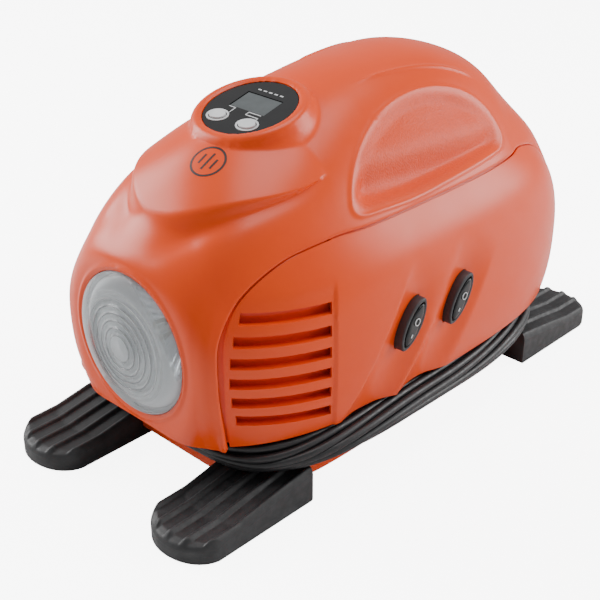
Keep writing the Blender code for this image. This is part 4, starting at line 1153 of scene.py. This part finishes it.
def strand_places():
    """Where the strands sit in the bundle's section: two rows round a middle one."""
    places = [(0.0, 0.0)]
    for count, radius in ((6, 3.9), (10, 6.9)):
        for k in range(count):
            angle = k * math.tau / count + radius
            places.append((radius * math.cos(angle), radius * math.sin(angle)))
    return places


def cord_strands():
    """The mains cord wound round the neck: strands that lie side by side and cross over slowly."""
    rng = random.Random(7)
    low, high = cad_box("cord_bundle")
    half_x = (high[0] - low[0]) / 2 - BUNDLE_RADIUS
    half_y = (high[1] - low[1]) / 2 - BUNDLE_RADIUS
    mid_y = (high[1] + low[1]) / 2
    mid_z = (high[2] + low[2]) / 2
    steps = 360
    sides = 10
    round_it = np.arange(sides) * math.tau / sides
    turn = np.arange(steps) * math.tau / steps
    for number, (a, b) in enumerate(strand_places()):
        phases = [rng.uniform(0, math.tau) for _ in range(4)]
        twist = turn + 0.5 * np.sin(turn * 2 + 0.6)
        out = a * np.cos(twist) - b * np.sin(twist)
        up = a * np.sin(twist) + b * np.cos(twist)
        out = out + 0.35 * np.sin(3 * turn + phases[0]) + 0.2 * np.sin(7 * turn + phases[1])
        up = up + 0.4 * np.sin(4 * turn + phases[2]) + 0.25 * np.sin(9 * turn + phases[3])
        out = np.clip(out, -7.0, 7.0)
        up = np.clip(up, -6.95, 6.95)
        c, s = np.cos(turn), np.sin(turn)
        power = np.where(s < 0, *CORD_POWERS)
        x = (half_x + out) * np.sign(c) * np.abs(c) ** (2 / power)
        y = (half_y + out) * np.sign(s) * np.abs(s) ** (2 / power) + mid_y
        path = np.column_stack([x, y, mid_z + up])
        path = even_loop(path, steps)
        ahead = unit(np.roll(path, -1, axis=0) - np.roll(path, 1, axis=0))
        side = unit(np.cross(ahead, (0, 0, 1.0)))
        top = np.cross(side, ahead)
        rings = []
        for i in range(steps):
            offset = np.outer(np.cos(round_it), side[i]) + np.outer(np.sin(round_it), top[i])
            rings.append(path[i] + STRAND_RADIUS * offset)
        strand = loft(f"cord_strand_{number + 1}", rings, LOOKS["cord_rubber"], closed=True)
        place_piece(strand, stands_for=("cord_bundle",))


def even_loop(path, steps):
    """The same closed path with its points evenly spaced."""
    closed = np.vstack([path, path[:1]])
    lengths = np.concatenate([[0], np.cumsum(np.linalg.norm(np.diff(closed, axis=0), axis=1))])
    wanted = np.arange(steps) * lengths[-1] / steps
    return np.column_stack([np.interp(wanted, lengths, closed[:, k]) for k in range(3)])


# ---- lamp --------------------------------------------------------------------------------------


def lens_height(share):
    """Place of the lens's face along its axis at a share of its radius: 0 at the rim, negative
    in front of it."""
    return -LENS_DOME * np.sqrt(np.clip(1 - share**2, 0, 1))


PRISM_PITCH = 3.9
PRISM_DEPTH = 1.25
PRISM_START = 0.19  # share of the lens's radius where the rings begin
LENS_SHEET = 2.5
LENS_BACK = 2.6  # how far the back face lies behind the front one
LENS_SIDES = 128


def lamp_lens():
    """A domed lens with ring grooves in its middle and a plain rim band. A point attribute marks
    painted shade on the ridges between the grooves and on a line on the band."""
    shares = np.linspace(0.004, 1, 190)
    pitch = PRISM_PITCH / LENS_RADIUS
    saw = np.mod(shares - PRISM_START, pitch) / pitch
    ringed = smooth(PRISM_START - 0.02, PRISM_START, shares) * smooth(0.71, 0.66, shares)
    groove = PRISM_DEPTH * (1 - np.abs(2 * saw - 1)) ** 0.8 * ringed
    front = [(LENS_RADIUS * s, lens_height(s) + g) for s, g in zip(shares, groove)]
    back_shares = np.linspace(1, 0.01, 30)
    inner = LENS_RADIUS - LENS_SHEET
    back = [(inner * s, lens_height(s) + LENS_BACK) for s in back_shares]
    profile = front + [(LENS_RADIUS, 3), (inner, 3)] + back
    made = turned("lamp_lens_rings", profile, LENS_FRAME, LENS_SIDES, LOOKS["clear_lens"])
    # Painted shade on the lens: dark on the ridges between the grooves and along a line on the rim
    # band.
    ridge = smooth(0.55, 0.95, np.abs(2 * saw - 1)) * ringed
    line = bell(shares - 0.76, 0.02) * 0.6
    shade = np.concatenate([ridge + line, np.zeros(2 + len(back_shares))])
    stipple_and_painted_shade = made.data.attributes.new("stipple_and_painted_shade", "FLOAT", "POINT")
    stipple_and_painted_shade.data.foreach_set("value", np.repeat(shade, LENS_SIDES))
    return place_piece(made, stands_for=("lamp_lens",))


BOWL_RADII = (6.0, 38.0)
BOWL_DEPTHS = (34.0, 3.0)  # behind the lens's rim, at the bowl's small and large end
BOWL_SHEET = 1.4


def lamp_reflector():
    """A bowl of polished flutes."""
    radii = np.linspace(*BOWL_RADII, 26)
    sides = 168
    flutes = 28
    turn = np.arange(sides) * math.tau / sides
    rings = []
    for thick in (0, BOWL_SHEET):
        order = radii if thick == 0 else radii[::-1]
        for radius in order:
            out = (radius - BOWL_RADII[0]) / (BOWL_RADII[1] - BOWL_RADII[0])
            depth = BOWL_DEPTHS[0] - (BOWL_DEPTHS[0] - BOWL_DEPTHS[1]) * out**1.7
            wave = 1.1 * np.abs(np.sin(turn * flutes / 2)) * smooth(8, 20, radius)
            circle = np.column_stack([(radius - wave) * np.cos(turn), (radius - wave) * np.sin(turn)])
            rings.append(in_frame(LENS_FRAME, level(circle, depth + thick)))
    made = loft("lamp_bowl", rings, LOOKS["reflector_chrome"], closed=True)
    return place_piece(made, stands_for=("lamp_reflector",))


# ---- gauge -------------------------------------------------------------------------------------


def gauge_print(name, outline):
    """A thin white stroke on the display."""
    made = slab(name, outline, 0.02, 0.10, GAUGE_FRAME, LOOKS["white_plastic"])
    place_piece(made)


def bar(first, last, half):
    """Outline of a straight stroke between two points."""
    first, last = np.asarray(first, float), np.asarray(last, float)
    ahead = unit(last - first)
    side = np.array((-ahead[1], ahead[0])) * half
    return [first - side, last - side, last + side, first + side]


def ring_strip(name, axes, radii, width, low, high, mid, body="housing"):
    """A flat, white oval ring."""
    sides = 64
    outer = oval(*radii, sides) + mid
    inner = oval(radii[0] - width, radii[1] - width, sides) + mid
    corners = ((outer, low), (outer, high), (inner, high), (inner, low))
    rings = [in_frame(axes, level(outline, height)) for outline, height in corners]
    made = loft(name, rings, LOOKS["white_plastic"], closed=True)
    place_piece(made, body)


def gauge_marks():
    """Plain frame lines under the screen, five dots over it and a ring round each button."""
    lines = (
        ((-11.8, -3.9), (-7, -3.9)),
        ((-7, -3.9), (-7, -8.6)),
        ((11.8, -3.9), (3, -3.9)),
        ((3, -3.9), (3, -6.5)),
        ((3, -6.5), (12, -6.5)),
        ((12, -6.5), (12, -9)),
    )
    for number, (first, last) in enumerate(lines):
        gauge_print(f"gauge_line_{number + 1}", bar(first, last, 0.28))
    for k in range(5):
        x = -8 + k * 4.0
        gauge_print(f"gauge_tick_{k + 1}", bar((x - 1.2, 15.6), (x + 1.2, 15.6), 0.45))
    for side, name in ((-1, "units"), (1, "set")):
        ring_strip(f"{name}_ring", GAUGE_FRAME, (6.9, 5.4), 1.1, 0.02, 0.3, (side * 11, -13.5))


# ---- switches ----------------------------------------------------------------------------------
SWITCH_SIDES = 72


def rocker(prefix, place):
    """A rocker: a domed leaf with a shallow dip across its middle."""
    axes = switch_frame_at(place)
    half = (SWITCH_HALF[0] - 3.1, SWITCH_HALF[1] - 3.8)
    rings = [in_frame(axes, level(leaf(*half, SWITCH_SIDES), -2.5))]
    for share in (1.0, 0.985, 0.95, 0.88, 0.75, 0.6, 0.45, 0.3, 0.15, 0.03):
        outline = leaf(half[0] * share, half[1] * share, SWITCH_SIDES)
        crown = 1.4 + 0.95 * math.sqrt(max(0.0, 1 - share**6))
        height = crown - 0.5 * bell(outline[:, 1] / half[1] - 0.1, 0.4)
        rings.append(in_frame(axes, np.column_stack([outline, height])))
    made = loft(prefix + "_rocker_key_cap", rings, LOOKS["black_gloss"])
    return place_piece(made, prefix + "_rocker_key", stands_for=(prefix + "_rocker",))


def switch_frame(prefix, place):
    """The leaf-shaped bezel round a rocker, rounded over at both edges."""
    axes = switch_frame_at(place)
    outer_side = ((0.5, -5), (0.5, 0.6), (0.6, 1.0), (0.85, 1.3), (1.2, 1.4))
    inner_side = ((2.1, 1.4), (2.45, 1.25), (2.6, 0.9), (2.6, -5))
    rings = []
    for shrink, height in outer_side + inner_side:
        outline = leaf(SWITCH_HALF[0] - shrink, SWITCH_HALF[1] - shrink, SWITCH_SIDES)
        rings.append(in_frame(axes, level(outline, height)))
    made = loft(prefix + "_switch_bezel", rings, LOOKS["dark_grey_plastic"], closed=True)
    return place_piece(made, stands_for=(prefix + "_switch_frame",))


def rocker_marks(prefix, place):
    """A plain ring and a short bar on a rocker."""
    axes = switch_frame_at(place)
    body = prefix + "_rocker_key"
    low, high = 2.3, 2.5
    ring_strip(prefix + "_mark_ring", axes, (2.2, 2.2), 0.45, low, high, (0, 2), body)
    stroke = bar((0, -7.2), (0, -5.2), 0.4)
    made = slab(prefix + "_mark_bar", stroke, low, high, axes, LOOKS["white_plastic"])
    place_piece(made, body)


# ---- build -------------------------------------------------------------------------------------


def build():
    dress_frame()
    cover = top_cover()
    hood_sign(cover)
    seam_lips()
    side_panel("right_panel_shell", 1, "right_side_panel")
    side_panel("left_panel_shell", -1, "left_side_panel")
    louvres("right_louvres", 1)
    louvres("left_louvres", -1)
    base_tray()
    for end in ("front", "rear"):
        for side in ("right", "left"):
            foot(f"foot_{end}_{side}")
    cord_strands()
    lamp_lens()
    lamp_reflector()
    gauge_marks()
    for prefix, place in zip(("front", "rear"), SWITCH_PLACES):
        rocker(prefix, place)
        switch_frame(prefix, place)
        rocker_marks(prefix, place)


# ---- stage -------------------------------------------------------------------------------------
CAMERA_AT = (430.4, -462.5, 400.9)
CAMERA_AZIMUTH = math.radians(43.92)
CAMERA_ELEVATION = math.radians(28.49)
FOCAL_LENGTH = 72
SENSOR_WIDTH = 36
AMBIENT = 0.28  # the surround's light on the object
BACKDROP = 7.0  # how bright the surround looks to the camera
CARDS = 0.3  # how much brighter the surround is where it is mirrored
FLOOR_GLOW = 7.0  # how bright the floor looks to the camera
FLOOR_HALF = 6.0
SOFTBOXES = {
    "left_softbox": ((-1.2, -0.5, 0.75), 0.9, 24),
    "right_softbox": ((0.9, 1.1, 0.6), 0.8, 17),
    "top_softbox": ((0.1, 0.2, 1.5), 0.9, 12),
}


def stage_floor():
    """A plain pale floor."""
    made = Surface("floor_look", (0.92, 0.92, 0.92), 0.6)
    made.shader.inputs["Emission Color"].default_value = (1, 1, 1, 1)
    path = made.tree.nodes.new("ShaderNodeLightPath")
    glow = made.math("MULTIPLY", path.outputs["Is Camera Ray"], FLOOR_GLOW)
    made.link(glow, made.shader.inputs["Emission Strength"])
    made.tint(made.ranged(made.noise(300, 2), 0.4, 0.7, 0, 0.3), (0.89, 0.89, 0.89))
    mesh = bpy.data.meshes.new("floor")
    far = FLOOR_HALF
    corners = [(-far, -far, 0), (far, -far, 0), (far, far, 0), (-far, far, 0)]
    mesh.from_pydata(corners, [], [(0, 1, 2, 3)])
    mesh.materials.append(made.material)
    floor = bpy.data.objects.new("floor", mesh)
    bpy.context.scene.collection.objects.link(floor)


def softbox(name, place, size, power):
    """A square soft light that faces the middle of the object. Sizes are in metres."""
    target = (0, 0, 0.1)
    light = bpy.data.lights.new(name, "AREA")
    light.shape = "RECTANGLE"
    light.size = light.size_y = size
    light.energy = power
    obj = bpy.data.objects.new(name, light)
    obj.location = place
    obj.rotation_euler = (Vector(target) - Vector(place)).to_track_quat("-Z", "Y").to_euler()
    bpy.context.scene.collection.objects.link(obj)


def studio():
    """A white surround that lights little, with three large soft lights that shape the body."""
    world = bpy.data.worlds.new("studio")
    bpy.context.scene.world = world
    world.use_nodes = True
    tree = world.node_tree
    background = tree.nodes["Background"]
    background.inputs["Color"].default_value = (1, 1, 1, 1)
    path = tree.nodes.new("ShaderNodeLightPath")
    strength = tree.nodes.new("ShaderNodeMapRange")
    strength.inputs["To Min"].default_value = AMBIENT
    strength.inputs["To Max"].default_value = BACKDROP
    tree.links.new(path.outputs["Is Camera Ray"], strength.inputs["Value"])
    cards = tree.nodes.new("ShaderNodeMath")
    cards.operation = "MULTIPLY_ADD"
    tree.links.new(path.outputs["Is Glossy Ray"], cards.inputs[0])
    cards.inputs[1].default_value = CARDS
    tree.links.new(strength.outputs["Result"], cards.inputs[2])
    tree.links.new(cards.outputs["Value"], background.inputs["Strength"])
    for name, (place, size, power) in SOFTBOXES.items():
        softbox(name, place, size, power)


def camera():
    lens = bpy.data.cameras.new("camera")
    lens.lens = FOCAL_LENGTH
    lens.sensor_width = SENSOR_WIDTH
    obj = bpy.data.objects.new("camera", lens)
    obj.location = [(value - shift) * MM for value, shift in zip(CAMERA_AT, MIDDLE)]
    back = Vector((
        math.sin(CAMERA_AZIMUTH) * math.cos(CAMERA_ELEVATION),
        -math.cos(CAMERA_AZIMUTH) * math.cos(CAMERA_ELEVATION),
        math.sin(CAMERA_ELEVATION),
    ))
    obj.rotation_euler = (-back).to_track_quat("-Z", "Y").to_euler()
    bpy.context.scene.collection.objects.link(obj)
    bpy.context.scene.camera = obj


build()
stage_floor()
studio()
camera()
